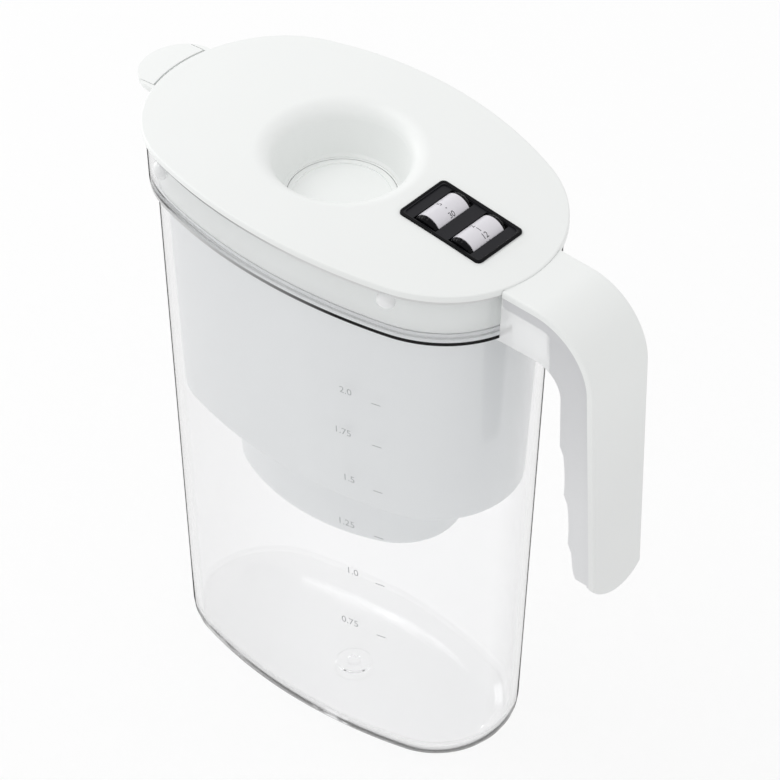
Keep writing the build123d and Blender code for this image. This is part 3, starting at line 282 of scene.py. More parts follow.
# %% [markdown]
# ## The clear jug
# Light bends wherever it passes a clear wall, so every tiny facet of a wall shows as a ripple.
# The CAD mesh is exact but its triangles are uneven, which would make this jug look hand
# blown. So the jug is drawn again on an even grid. Seen from above, every level of it is one
# closed outline round the same middle. That makes it a stack of rings: one stack for the
# outside, one for the room inside, and one is cut from the other.

# %% Sizes of the jug, in millimetres
BASE_OVAL = (73.0, 36.6, 31.0)
SHOULDER_OVAL = (85.4, 50.6, 44.0)
LID_OVAL = (91.0, 56.2, 49.6)
SHOULDER, LID_TOP, ARCH_RADIUS = 228.7, 255.0, 790.0
WALL, FLOOR, BASE_ROUND = 2.4, 3.2, 14.0
BAND_FOOT, BAND_FLARE, BAND_START, BAND_HEIGHT = 3.2, 2.0, SHOULDER - 10, 36.3
BAND_ROUND, LEDGE, LEDGE_ROUND, CORNER_ROUND = 0.25, 2.08, 0.5, 0.25
RIM_TOP, RIM_ROUND = LID_TOP - 2.85, 0.25
STEP_LINE, LID_LINE = 1.8, 2.2
BEAK_FOOT = (-78.0, 216.0, 7.0)
BEAK_MOUTH = (-88.2, 250.0, 15.9)
RELIEF_X, RELIEF_TOP, RELIEF_HALF = -87.0, 244.8, 22.0
WALL_LEVELS = (40, 70, 100, 130, 160, 185, 205, 213, 216, 217, 218, 219, 220)
AROUND = 320


def arch_drop(x):
    """How far the bent lid lies below its middle."""
    return ARCH_RADIUS - math.sqrt(ARCH_RADIUS**2 - x**2)


def band_inset(z):
    """How far the flared band lies inside the lid's outline at a height."""
    return BAND_FOOT - BAND_FLARE * (z - BAND_START) / BAND_HEIGHT


print("jug:", 2 * BASE_OVAL[0], "mm long at its base,", 2 * SHOULDER_OVAL[0], "at its shoulder")

# %% [markdown]
# The jug is clear, hard plastic about 2.4 mm thick, solid glass to Blender: rays bend where
# they enter and leave. Where a wall is seen edge on, its colour is painted grey and at last
# almost black, as painted shade for the dark surroundings that such a wall bends and mirrors;
# that is why the outline of a clear jug looks drawn in pencil. Layer Weight's Facing says how
# steeply a surface is seen, so it picks the painted grey. The last, dark hair line is painted
# shade too: a coat with no gloss of its own whose dark tint soaks up whatever runs along the
# surface. Lamps would cast a dark shadow through glass, so rays that look for a lamp pass
# straight through instead.

# %% Clear plastic
WALL_EDGE_SHADE = ((0.44, 0.975), (0.55, 0.88), (0.76, 0.74), (0.87, 0.5), (1.0, 0.4))
BASE_EDGE_SHADE = ((0.25, 0.91), (0.5, 0.88), (0.8, 0.82), (1.0, 0.7))
BLUE_CAST = 1.004
EDGE_START, EDGE_FULL, OUTLINE_SHADE_TINT = 0.87, 0.93, (0.5, 0.5, 0.51, 1)
POLISH_CELLS, POLISH_SWING = 60.0, 0.03


def clear_plastic(name, transmission, roughness, colour=None, painted_edge_shade=()):
    """Hard clear plastic of one colour, or with painted shade that darkens from seen flat to seen
    edge on.
    """
    plain = {"IOR": PLASTIC_IOR, "Transmission Weight": transmission}
    material, tree, shader = new_material(name, plain)
    if colour:
        fill(tree, shader, {"Base Color": (*colour, 1)})
    else:
        # Painted shade: the colour greys to near black where the surface is seen edge on, and a
        # dark coat tint paints the last hair line.
        facing = tree.nodes.new("ShaderNodeLayerWeight").outputs["Facing"]
        stops = [(place, (tone, tone, tone * BLUE_CAST)) for place, tone in painted_edge_shade]
        fill(tree, shader, {"Base Color": ramp_node(tree, facing, stops)})
        edge = share_node(tree, facing, EDGE_START, EDGE_FULL)
        fill(tree, shader, {"Coat Weight": edge, "Coat IOR": 1.0, "Coat Tint": OUTLINE_SHADE_TINT})
    polish = {"Cells per metre": POLISH_CELLS, "Variation": POLISH_SWING}
    skin = group_node(tree, grain_group, {"Roughness": roughness, **polish})
    fill(tree, shader, {"Roughness": skin.outputs["Roughness"]})
    path = tree.nodes.new("ShaderNodeLightPath")
    way = math_node(tree, "MAXIMUM", path.outputs["Is Shadow Ray"], path.outputs["Is Diffuse Ray"])
    open_way = add_node(tree, "BsdfTransparent", {"Color": (0.96, 0.965, 0.965, 1)})
    mix_surface(tree, way, shader.outputs["BSDF"], open_way.outputs["BSDF"])
    return material


clear = clear_plastic("jug_clear", 1.0, 0.03, painted_edge_shade=WALL_EDGE_SHADE)
base_clear = clear_plastic("base_clear", 1.0, 0.05, painted_edge_shade=BASE_EDGE_SHADE)
inner_clear = clear_plastic("inner_clear", 1.0, 0.03, (0.985, 0.985, 0.988))
root_clear = clear_plastic("root_clear", 0.25, 0.2, (0.97, 0.975, 0.98))
nub_milky = clear_plastic("nub_milky", 0.15, 0.2, (0.9, 0.905, 0.91))
CLEAR_PLASTICS = (clear, base_clear, inner_clear, root_clear, nub_milky)
print("clear plastics:", [material.name for material in CLEAR_PLASTICS])

# %% [markdown]
# Two joints of the jug are seen as fine dark lines: the foot of the band round the mouth,
# where the step mirrors the dark inside of the lid, and the shaded slit right under the lid's
# edge. Each line is painted shade: a near-black colour on a narrow ring of faces, paler
# towards one end.


# %% Painted shade lines along the joints
def line_finish(name, ends, tones):
    """Painted shade: a near-black surface whose tone changes along the jug, between two places in
    metres.
    """
    material, tree, shader = new_material(name, {"Roughness": 0.6, "Specular IOR Level": 0.1})
    share = share_node(tree, axis_node(tree, "X"), *ends)
    stops = [(place, (tone, tone, tone)) for place, tone in enumerate(tones)]
    fill(tree, shader, {"Base Color": ramp_node(tree, share, stops)})
    return material


# Painted shade: the step's line darkens towards +x, the slit under the lid darkens towards -x.
step_shade_line = line_finish("step_shade_line", (-0.04, 0.035), (0.6, 0.01))
lid_shadow_line = line_finish("lid_shadow_line", (-0.07, 0.02), (0.05, 0.7))
print("lines:", step_shade_line.name, lid_shadow_line.name)

# %% [markdown]
# Two helpers give the distance from the middle to an outline in any direction: one for an
# oval of four arcs, one for the round beak. The larger of the two is the jug's outline, and a
# soft maximum rounds the crease between them as a mould maker would.


# %% Outlines seen from above
def side_arc(reach, half_width, end):
    """Radius of an oval's long sides, from its half width and its end arcs."""
    return (reach**2 + half_width**2 - end**2) / (2 * (half_width - end))


def oval_reach(oval, inset, angle):
    """Distance from the middle to an oval of four arcs, moved inwards by inset."""
    half_length, half_width, end = (value - inset for value in oval)
    reach = half_length - end
    side = side_arc(reach, half_width, end)
    turn = math.atan2(side - half_width, reach)
    joint = math.atan2(end * math.sin(turn), reach + end * math.cos(turn))
    along, across = abs(math.cos(angle)), abs(math.sin(angle))
    if math.atan2(across, along) <= joint:
        middle, centre, radius = along * reach, reach, end
    else:
        middle, centre, radius = across * (half_width - side), side - half_width, side
    return middle + math.sqrt(middle**2 - centre**2 + radius**2)


def beak_reach(z, inset, angle):
    """Distance to the far side of the beak, or 0 where this direction misses it."""
    share = (z - BEAK_FOOT[1]) / (BEAK_MOUTH[1] - BEAK_FOOT[1])
    if share < 0:
        return 0.0
    x, radius = (a + share * (b - a) for a, b in zip(BEAK_FOOT[::2], BEAK_MOUTH[::2]))
    middle = x * math.cos(angle)
    inside = middle**2 - x**2 + (radius - inset) ** 2
    return middle + math.sqrt(inside) if inside > 0 and middle > 0 else 0.0


def soft_max(a, b, blend=1.2):
    """The larger of two numbers, rounded where they are nearly equal."""
    gap = max(blend - abs(a - b), 0.0) / blend
    return max(a, b) + gap * gap * blend / 4


def wall_oval(z):
    """The tapered wall's oval at a height."""
    return [a + (b - a) * z / SHOULDER for a, b in zip(BASE_OVAL, SHOULDER_OVAL)]


# %% [markdown]
# A ring is a function of the direction. The wall's rings lie level, but the band round the
# mouth follows the arched lid, so its rings are bent: each one first finds how far out it is
# and then how far the arch has dropped there.


# %% Rings of the jug
def level_wall(z, inset):
    """A level ring on the wall."""

    def ring(angle):
        out = soft_max(oval_reach(wall_oval(z), inset, angle), beak_reach(z, inset, angle))
        return out, z

    return ring


def bent_ring(height, inset, on_band):
    """A ring bent like the lid, on the band (True) or on the wall carried up (False)."""

    def ring(angle):
        out, z = LID_OVAL[0], height
        for _ in range(3):
            z = height - arch_drop(out * math.cos(angle))
            if out * math.cos(angle) < RELIEF_X and abs(out * math.sin(angle)) < RELIEF_HALF:
                z = min(z, RELIEF_TOP) if height < LID_TOP else z
            if on_band:
                out = oval_reach(LID_OVAL, inset + band_inset(z), angle)
            else:
                out = oval_reach(wall_oval(z), inset, angle)
            out = soft_max(out, beak_reach(z, inset if inset > 0.9 * WALL else 0.0, angle))
        return out, z

    return ring


def disc_ring(radius, z):
    """A small round ring about the middle."""
    return lambda angle: (radius, z)


def quarter(steps):
    """Steps round a corner of radius 1: the rise and how far in from the outer face."""
    for step in range(steps + 1):
        a = math.radians(90 * step / steps)
        yield 1 - math.cos(a), 1 - math.sin(a)


def rounded(z, inset, radius, steps=8):
    """Rings of the rounded edge between a floor and the wall."""
    for rise, inward in quarter(steps):
        yield level_wall(z + radius * rise, inset + radius * inward)


# %% Turn rings into a closed mesh
def new_piece(name, work):
    """Turns the faces in the workshop mesh into a piece of the scene."""
    mesh = bpy.data.meshes.new(name)
    work.to_mesh(mesh)
    work.free()
    piece = bpy.data.objects.new(name, mesh)
    bpy.context.scene.collection.objects.link(piece)
    return piece


def stack_rings(name, rings, bottom, top):
    """Joins rings from the bottom up, and closes both ends with a point in the middle."""
    work = bmesh.new()
    rows = []
    for ring in rings:
        row = []
        for i in range(AROUND):
            angle = 2 * math.pi * (i + 0.5) / AROUND
            out, z = ring(angle)
            row.append(
                work.verts.new(Vector((out * math.cos(angle), out * math.sin(angle), z)) * MM)
            )
        rows.append(row)
    low = work.verts.new((0, 0, bottom * MM))
    high = work.verts.new((0, 0, top * MM))
    for i in range(AROUND):
        j = (i + 1) % AROUND
        for row, above in zip(rows, rows[1:]):
            work.faces.new((row[i], row[j], above[j], above[i]))
        work.faces.new((low, rows[0][j], rows[0][i]))
        work.faces.new((high, rows[-1][i], rows[-1][j]))
    piece = new_piece(name, work)
    print(name, "faces:", len(piece.data.polygons))
    return piece


# %% [markdown]
# The outside goes up from the rounded base over the wall's levels to the step, out round the
# foot of the band, and up the band to the rim. Two rings stand where the dark lines end.

# %% Outside of the jug
BAND_LEVELS = (SHOULDER + STEP_LINE, 234, 239, 244, 248, RIM_TOP - LID_LINE, RIM_TOP - RIM_ROUND)
outside_rings = [*rounded(0.0, 0.0, BASE_ROUND)]
outside_rings += [level_wall(z, 0.0) for z in WALL_LEVELS]
outside_rings += [bent_ring(SHOULDER - drop, 0.0, False) for drop in (0.25, 0.0)]
for rise, inward in quarter(4):
    outside_rings.append(bent_ring(SHOULDER + BAND_ROUND * rise, BAND_ROUND * inward, True))
outside_rings += [bent_ring(z, 0.0, True) for z in BAND_LEVELS]
outside_rings += [bent_ring(RIM_TOP, RIM_ROUND, True)]
jug_glass = stack_rings("jug_glass", outside_rings, 0.0, RIM_TOP)

# %% [markdown]
# The room inside has the moulding gate in the middle of its floor: a low ring with a dimple,
# left where the melt came into the mould. Higher up a ledge goes round it, the seat of the
# funnel's flange. The room ends well above the rim, so that the cut leaves nothing there.

# %% Room inside the jug
GATE, DIMPLE, GATE_RISE, GATE_SLOPE, GATE_STEPS = 7.0, 2.6, 0.7, 1.6, 8
FLAT_FLOOR = 18.0
ROOM_TOP = LID_TOP + 3


def gate_rings():
    """Rings of the gate: up from the dimple and down again, both in a soft wave."""
    for middle, side in ((DIMPLE, 1), (GATE, -1)):
        for step in range(GATE_STEPS + 1):
            share = step / GATE_STEPS
            rise = GATE_RISE * (1 - math.cos(math.pi * share)) / 2
            if side < 0:
                rise = GATE_RISE - rise
            yield disc_ring(middle + GATE_SLOPE * (share - 0.5), FLOOR + rise)


seat = SHOULDER + LEDGE
inside_rings = [*gate_rings()]
inside_rings += [disc_ring(FLAT_FLOOR, FLOOR)]
inside_rings += [*rounded(FLOOR, WALL, BASE_ROUND - WALL)]
inside_rings += [level_wall(z, WALL) for z in WALL_LEVELS]
for rise, inward in quarter(5):
    inside_rings.append(bent_ring(seat - LEDGE_ROUND * inward, WALL - LEDGE_ROUND * rise, False))
for rise, inward in quarter(3):
    inside_rings.append(bent_ring(seat + CORNER_ROUND * rise, WALL + CORNER_ROUND * inward, True))
inside_rings += [bent_ring(seat + z, WALL, True) for z in (4.0, 9.0, 14.0)]
inside_rings += [bent_ring(z, WALL, True) for z in (RIM_TOP - RIM_ROUND, ROOM_TOP)]
jug_room = stack_rings("jug_room", inside_rings, FLOOR, ROOM_TOP)

# %% [markdown]
# The handle's root is a block that grows out of the band, hollowed from above, and a spine
# runs on from it inside the handle. Both are drawn from the side and pushed out to their
# width. Small snap nubs on the band complete the moulding. Boolean modifiers with the exact
# solver join and cut everything, so the jug ends as one watertight skin, as glass needs.

# %% Blocks of the handle's root
BEND_X, BEND_Z, BEND_ROUND = 104.5, 220.9, 25.3
UNDER_X, UNDER_Z, UNDER_ROUND = 103.6, 211.0, 12.2
ROOT_BACK, ROOT_END, ROOT_HALF = 70.0, 110.5, 14.6
ROOT_UNDER, ROOT_TOP, ROOT_FLOOR = 222.2, 246.2, 224.6
SPINE_OUT, SPINE_IN, SPINE_HALF, SPINE_FOOT = 25.2, 20.6, 8.0, 136.0


def arc_points(x, z, radius, start, stop, steps=24):
    """Points on an arc seen from the near side, angles in degrees."""
    for step in range(steps + 1):
        a = math.radians(start + (stop - start) * step / steps)
        yield x + radius * math.cos(a), z + radius * math.sin(a)


def side_block(name, outline, half_width):
    """Pushes an outline seen from the side out to both sides."""
    work = bmesh.new()
    near = [work.verts.new(Vector((x, -half_width, z)) * MM) for x, z in outline]
    far = [work.verts.new(Vector((x, half_width, z)) * MM) for x, z in outline]
    for i in range(len(outline)):
        j = (i + 1) % len(outline)
        work.faces.new((near[i], near[j], far[j], far[i]))
    work.faces.new(near)
    work.faces.new(far)
    bmesh.ops.recalc_face_normals(work, faces=work.faces)
    return new_piece(name, work)


under_stop = math.degrees(math.acos((ROOT_END - UNDER_X) / UNDER_ROUND))
over_start = math.degrees(math.acos((ROOT_END - BEND_X) / BEND_ROUND))
root_outline = [(ROOT_BACK, ROOT_TOP), (ROOT_BACK, ROOT_UNDER)]
root_outline += [*arc_points(UNDER_X, UNDER_Z, UNDER_ROUND, 90, under_stop)]
root_outline += [*arc_points(BEND_X, BEND_Z, BEND_ROUND, over_start, 90)]
root_block = side_block("root_block", root_outline, ROOT_HALF)
room_from, room_to, above_all = LID_OVAL[0], ROOT_END - WALL, 260.0
room_outline = [(room_from, ROOT_FLOOR), (room_to, ROOT_FLOOR)]
room_outline += [(room_to, above_all), (room_from, above_all)]
root_room = side_block("root_room", room_outline, ROOT_HALF - WALL)
spine_start = math.degrees(math.acos((ROOT_END - WALL / 2 - BEND_X) / SPINE_OUT))
spine_outline = [*arc_points(BEND_X, BEND_Z, SPINE_OUT, spine_start, 0)]
spine_outline += [(BEND_X + SPINE_OUT, SPINE_FOOT), (BEND_X + SPINE_IN, SPINE_FOOT)]
spine_outline += [*arc_points(BEND_X, BEND_Z, SPINE_IN, 0, spine_start)]
spine = side_block("spine", spine_outline, SPINE_HALF)
print("blocks:", [block.name for block in (root_block, root_room, spine)])

# %% Snap nubs
NUB_X, NUB_HEIGHT, NUB_RADIUS, NUB_INSET, FIRST_GUESS_Y = 56.4, 247.5, 4.0, 5.0, 46.0
NUB_Z = NUB_HEIGHT - arch_drop(NUB_X)
nub_angle = math.atan2(FIRST_GUESS_Y, NUB_X)
for _ in range(4):
    nub_out = oval_reach(LID_OVAL, NUB_INSET, nub_angle)
    nub_angle = math.acos(NUB_X / nub_out)
nub_y = nub_out * math.sin(nub_angle)
work = bmesh.new()
for x in (-NUB_X, NUB_X):
    for y in (-nub_y, nub_y):
        made = bmesh.ops.create_icosphere(work, subdivisions=5, radius=NUB_RADIUS * MM)
        bmesh.ops.translate(work, vec=Vector((x, y, NUB_Z)) * MM, verts=made["verts"])
nubs = new_piece("nubs", work)
print("nubs at x", NUB_X, "y", round(nub_y, 2), "z", round(NUB_Z, 2))

# %% Join and cut
MELT_GAP, JUG_SHARP = 0.001 * MM, math.radians(35)
JOINS = (
    (root_block, "UNION"),
    (root_room, "DIFFERENCE"),
    (spine, "UNION"),
    (nubs, "UNION"),
    (jug_room, "DIFFERENCE"),
)
for helper, operation in JOINS:
    step = jug_glass.modifiers.new(helper.name, "BOOLEAN")
    step.object = helper
    step.operation = operation
    step.solver = "EXACT"
bpy.context.view_layer.update()
finished = bpy.data.meshes.new_from_object(
    jug_glass.evaluated_get(bpy.context.evaluated_depsgraph_get())
)
jug_glass.modifiers.clear()
jug_glass.data = finished
for helper, _ in JOINS:
    bpy.data.objects.remove(helper)
work = bmesh.new()
work.from_mesh(finished)
bmesh.ops.remove_doubles(work, verts=work.verts, dist=MELT_GAP)
open_edges = sum(len(edge.link_faces) != 2 for edge in work.edges)
print("jug_glass faces:", len(work.faces), "open edges:", open_edges)
print("plastic:", round(work.calc_volume() * 1e6, 1), "cubic centimetres")
work.to_mesh(finished)
work.free()
finished.shade_smooth()
finished.set_sharp_from_angle(angle=JUG_SHARP)
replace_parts(jug_glass, "jug_body")
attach(jug_glass, "jug")

# %% [markdown]
# The outside of the jug gets the clear plastic with painted grey shade at its edges, paler
# round the base. The inside gets one without the painted grey edges, or every outline would be
# drawn twice. The root, the nubs and the step are thick lumps in which light bounces about, and
# on the real jug they look milky, so their faces get milkier plastic, and each nub a fine dark
# arc of painted shade on its lower left. The faces are told apart by where their middles lie.


# %% Finish of every face of the jug
JUG_FINISHES = (clear, base_clear, root_clear, nub_milky, step_shade_line, lid_shadow_line, inner_clear)
CLEAR, BASE, ROOT, MILKY, STEP, UNDER_LID, INNER = range(len(JUG_FINISHES))
BASE_HEIGHT, ROOT_START = 11.0, 86.6
SHADE_ARC_LOW, SHADE_ARC_HIGH = 0.4, 0.95
SHADE_ARC_FROM, SHADE_ARC_TO = math.radians(185), math.radians(285)
NUB_SLACK, BULGE_SLACK, ROOT_SLACK, STEP_SLACK, LEDGE_SLACK = 0.03, 0.01, 0.05, 0.1, 0.3


def jug_finish(middle):
    """Number of the finish that a face gets, from its middle in millimetres."""
    height = middle.z + arch_drop(middle.x)
    out = math.hypot(middle.x, middle.y)
    angle = math.atan2(middle.y, middle.x)
    wall_out = oval_reach(wall_oval(middle.z), 0.0, angle)
    band_out = oval_reach(LID_OVAL, band_inset(middle.z), angle)
    nub = Vector((math.copysign(NUB_X, middle.x), math.copysign(nub_y, middle.y), NUB_Z))
    away = middle - nub
    if abs(away.length - NUB_RADIUS) < NUB_SLACK and out > band_out + BULGE_SLACK:
        turn = math.atan2(away.z, away.x) % (2 * math.pi)
        # Painted shade: a fine near-black arc on the lower left of each nub.
        in_painted_shade_arc = SHADE_ARC_LOW < out - band_out < SHADE_ARC_HIGH and SHADE_ARC_FROM < turn < SHADE_ARC_TO
        return STEP if in_painted_shade_arc else MILKY
    if middle.x > ROOT_START and abs(middle.y) < ROOT_HALF + ROOT_SLACK:
        return ROOT
    if middle.z < BASE_HEIGHT:
        return BASE
    skin = wall_out if height < SHOULDER + STEP_SLACK else band_out
    skin = max(skin, beak_reach(middle.z, 0.0, angle))
    if out < skin - WALL / 2:
        return MILKY if abs(height - SHOULDER - LEDGE) < LEDGE_SLACK else INNER
    if out > oval_reach(wall_oval(middle.z), -STEP_SLACK, angle):
        if SHOULDER - STEP_SLACK < height < SHOULDER + BULGE_SLACK:
            return MILKY
        # Painted shade lines: the foot of the band, and the slit under the lid's edge.
        if SHOULDER < height < SHOULDER + STEP_LINE:
            return STEP
        if height > RIM_TOP - LID_LINE:
            return UNDER_LID
    return CLEAR


jug_glass.data.materials.clear()
for finish in JUG_FINISHES:
    jug_glass.data.materials.append(finish)
counts = dict.fromkeys((finish.name for finish in JUG_FINISHES), 0)
for face in jug_glass.data.polygons:
    face.material_index = jug_finish(face.center / MM)
    counts[JUG_FINISHES[face.material_index].name] += 1
print("faces by finish:", counts)

# %% [markdown]
# ## Put the finishes on
# Each CAD piece gets one finish. The table says which; the loop swaps out the plain material
# that came with the file.

# %% Finish of every CAD piece
FINISHES = {
    "jug_body": clear,
    "handle_cover": cover_white,
    "handle_grip": grip_white,
    "funnel_hopper": funnel_white,
    "cartridge_housing": cartridge_white,
    "cartridge_cap": cartridge_white,
    "cartridge_seal": seal_grey,
    "filter_media": grains,
    "inlet_mesh": mesh_nylon,
    "outlet_mesh": mesh_nylon,
    "lid_shell": lid_white,
    "fill_flap": flap_white,
    "spout_flap": lid_white,
    "dial_tray": dial_black,
    "day_wheel": wheel_black,
    "month_wheel": wheel_black,
    "day_number_band": number_white,
    "month_number_band": number_white,
    "day_axle": steel,
    "month_axle": steel,
    "detent_spring": steel,
    "fill_flap_pin": steel,
}
for name, piece in nodes.items():
    piece.data.materials.clear()
    piece.data.materials.append(FINISHES[name])
print("finished:", len(FINISHES), "of", len(nodes))

# %% [markdown]
# ## What is printed
# The real jug has a litre scale on its near side, printed in pale grey ink, and numbers on the
# two wheels. Print has no thickness to speak of, so each number is a text turned into a flat
# mesh that is then laid on the curved surface, a few hundredths of a millimetre above it.

# %% Flat print made from text
DIGIT_SHARE = 0.72


def flat_text(words, height, narrow=1.0):
    """Returns (points, faces) of a text, centred on (0, 0), its digits height tall."""
    curve = bpy.data.curves.new("lettering", "FONT")
    curve.body = words
    curve.align_x = "CENTER"
    curve.align_y = "CENTER"
    curve.size = height / DIGIT_SHARE
    curve.resolution_u = 4
    carrier = bpy.data.objects.new("lettering", curve)
    bpy.context.scene.collection.objects.link(carrier)
    bpy.context.view_layer.update()
    mesh = bpy.data.meshes.new_from_object(carrier)
    points = [(v.co.x * narrow, v.co.y) for v in mesh.vertices]
    faces = [tuple(p.vertices) for p in mesh.polygons]
    bpy.data.objects.remove(carrier)
    bpy.data.curves.remove(curve)
    bpy.data.meshes.remove(mesh)
    return points, faces


def flat_bar(width, height):
    """Returns (points, faces) of a small bar centred on (0, 0)."""
    w, h = width / 2, height / 2
    return [(-w, -h), (w, -h), (w, h), (-w, h)], [(0, 1, 2, 3)]


def lay_print(name, prints, lay, step, material, body):
    """Cuts flat prints into strips no taller than step, lays them with lay(u, v, mark)."""
    work = bmesh.new()
    for mark, (points, faces) in prints:
        sheet = bmesh.new()
        corners = [sheet.verts.new((u, v, 0)) for u, v in points]
        for face in faces:
            sheet.faces.new([corners[i] for i in face])
        low = min(v for u, v in points)
        high = max(v for u, v in points)
        cut = low + step
        while cut < high:
            bmesh.ops.bisect_plane(
                sheet,
                geom=[*sheet.verts, *sheet.edges, *sheet.faces],
                plane_co=(0, cut, 0),
                plane_no=(0, 1, 0),
            )
            cut += step
        sheet.verts.index_update()
        laid = [work.verts.new(lay(v.co.x, v.co.y, mark)) for v in sheet.verts]
        for face in sheet.faces:
            work.faces.new([laid[v.index] for v in face.verts])
        sheet.free()
    piece = new_piece(name, work)
    piece.data.materials.append(material)
    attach(piece, body)
    print(name, "faces:", len(piece.data.polygons))
    return piece


# %% [markdown]
# The inks are thin and matt. Noise makes their tone a little uneven, as pad printing does.

# %% Inks
BLOTS_PER_METRE, THIN_TONE = 3000.0, 0.8


def ink(name, colour):
    """Thin printing ink with a slightly uneven tone."""
    material, tree, shader = new_material(name, {"Roughness": 0.5})
    thin = [value * THIN_TONE for value in colour]
    shade = ramp_node(tree, noise_node(tree, BLOTS_PER_METRE), ((0, thin), (1, colour)))
    fill(tree, shader, {"Base Color": shade})
    return material


scale_ink = ink("scale_ink", (0.5, 0.51, 0.52))
dial_ink = ink("dial_ink", (0.02, 0.02, 0.025))
print("inks:", scale_ink.name, dial_ink.name)

# %% [markdown]
# The jug's wall is an oval that grows with height, so the scale's lay function works out the
# wall at each point: the near side is one long arc, and its radius changes with the height.
# The marks lie closer together higher up, where the jug is wider. Each number stands a little
# above its tick, and both rows lean inwards with the wall.

# %% Litre scale on the near wall
SCALE = {"2.0": 187.1, "1.75": 165.4, "1.5": 141.7, "1.25": 117.6, "1.0": 92.6, "0.75": 65.1}
SCALE_X, TICK_X, SCALE_LEAN, TICK_LEAN = 31.7, 45.0, 0.017, 0.026
SHORT_NUMBER, NUMBER_RISE, NUMBER_HEIGHT = 1.9, 1.5, 3.2
TICK_SIZE, SCALE_STRIP, PRINT_RISE = (3.8, 0.4), 10.0, 0.04


def wall_y(x, z):
    """Half the jug's width at a distance x along it and a height z, in millimetres."""
    length, width, end = wall_oval(z)
    side = side_arc(length - end, width, end)
    return width - side + math.sqrt(side**2 - x**2)


def on_wall(u, v, mark):
    """Lays a point of the scale on the near wall."""
    x, z = mark[0] + u, mark[1] + v
    return Vector((x, -wall_y(x, z) - PRINT_RISE, z)) * MM


scale_prints = []
for words, z in SCALE.items():
    above = z - SCALE["0.75"]
    x = SCALE_X + SCALE_LEAN * above + (SHORT_NUMBER if len(words) == 3 else 0)
    scale_prints.append(((x, z + NUMBER_RISE), flat_text(words, NUMBER_HEIGHT)))
    scale_prints.append(((TICK_X + TICK_LEAN * above, z), flat_bar(*TICK_SIZE)))
litre_scale = lay_print("litre_scale", scale_prints, on_wall, SCALE_STRIP, scale_ink, "jug")

# %% [markdown]
# The numbers on the wheels run round a cylinder of 6.5 mm. The day wheel shows every fifth
# day with a dot between two numbers, and the month wheel the numbers 1 to 12.

# %% Numbers on the two wheels
DIAL_X = 53.5
WHEEL_OFFSET, WHEEL_DROP, PRINT_RADIUS = 8.65, 4.1, 6.47
DAY_START, DAY_TURN, DAY_HEIGHT, DOT = 40.0, 60.0, 2.5, (0.5, 0.5)
MONTH_START, MONTH_TURN, MONTH_HEIGHT, MONTH_SHIFT = 3.5, 30.0, 2.6, -0.2
DIAL_NARROW, DIAL_STRIP = 0.85, 0.35
slope = math.asin(DIAL_X / ARCH_RADIUS)
along = Vector((math.cos(slope), 0, -math.sin(slope)))
up = Vector((math.sin(slope), 0, math.cos(slope)))
middle = Vector((DIAL_X, 0, LID_TOP - arch_drop(DIAL_X)))


def on_wheel(u, v, mark):
    """Lays a point on a wheel: u across it, v round it, from an angle in degrees."""
    side, across, degrees = mark
    turn = math.radians(degrees) - v / PRINT_RADIUS
    axis = middle + along * side * WHEEL_OFFSET - up * WHEEL_DROP
    out = up * math.cos(turn) + along * math.sin(turn)
    return (axis + out * PRINT_RADIUS + Vector((0, across + u, 0))) * MM


day_prints = []
for step, day in enumerate(range(30, 0, -5)):
    angle = DAY_START + DAY_TURN * step
    day_prints.append(((-1, 0.0, angle), flat_text(str(day), DAY_HEIGHT, DIAL_NARROW)))
    day_prints.append(((-1, 0.0, angle - DAY_TURN / 2), flat_bar(*DOT)))
month_prints = []
for step in range(12):
    angle = MONTH_START - MONTH_TURN * step
    number = flat_text(str(step + 1), MONTH_HEIGHT, DIAL_NARROW)
    month_prints.append(((1, MONTH_SHIFT, angle), number))
for name, prints, body in (
    ("day_numbers", day_prints, "day_wheel"),
    ("month_numbers", month_prints, "month_wheel"),
):
    numbers = lay_print(name, prints, on_wheel, DIAL_STRIP, dial_ink, body)

# %% [markdown]
# ## The dial up close
# On the real dial the wheels' black ends are glossy and softly rounded, and the tray has a
# glossy frame round a matt panel that fits close to the wheels. The CAD has square ends and a
# plain tray. A wheel is a turned shape, so its outline is spun round the axle, with shallow
# scallops for the thumb. The frame is one outline carried round a rounded rectangle.

# %% Turned thumb wheels
WHEEL_PROFILE = (
    (-10.7, 1.3), (-10.7, 4.4), (-10.6, 5.2), (-10.3, 5.8), (-9.8, 6.25), (-9.3, 6.42),
    (-8.7, 6.45), (-8.55, 6.3), (-8.5, 5.5),
)
SCALLOPS, SCALLOP_DEPTH, ROUND_STEPS = 16, 0.22, 192
SCALLOP_FROM, SCALLOP_OVER = 5.0, 1.5
TRIM_SHARP = math.radians(40)


def tube(name, rows, joined):
    """Joins rows of points into a tube that runs back into itself or has two flat ends."""
    work = bmesh.new()
    made = [[work.verts.new(point) for point in row] for row in rows]
    for row, after in zip(made, made[1:] + made[:1] if joined else made[1:]):
        for i in range(len(row)):
            j = (i + 1) % len(row)
            work.faces.new((row[i], row[j], after[j], after[i]))
    if not joined:
        work.faces.new(made[0])
        work.faces.new(made[-1])
    bmesh.ops.recalc_face_normals(work, faces=work.faces)
    return new_piece(name, work)


def mesh_piece(name, rows, material, body):
    """Makes a smooth tube that runs back into itself, with its finish and its body."""
    piece = tube(name, rows, True)
    piece.data.shade_smooth()
    piece.data.set_sharp_from_angle(angle=TRIM_SHARP)
    piece.data.materials.append(material)
    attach(piece, body)
    print(name, "faces:", len(piece.data.polygons))
    return piece


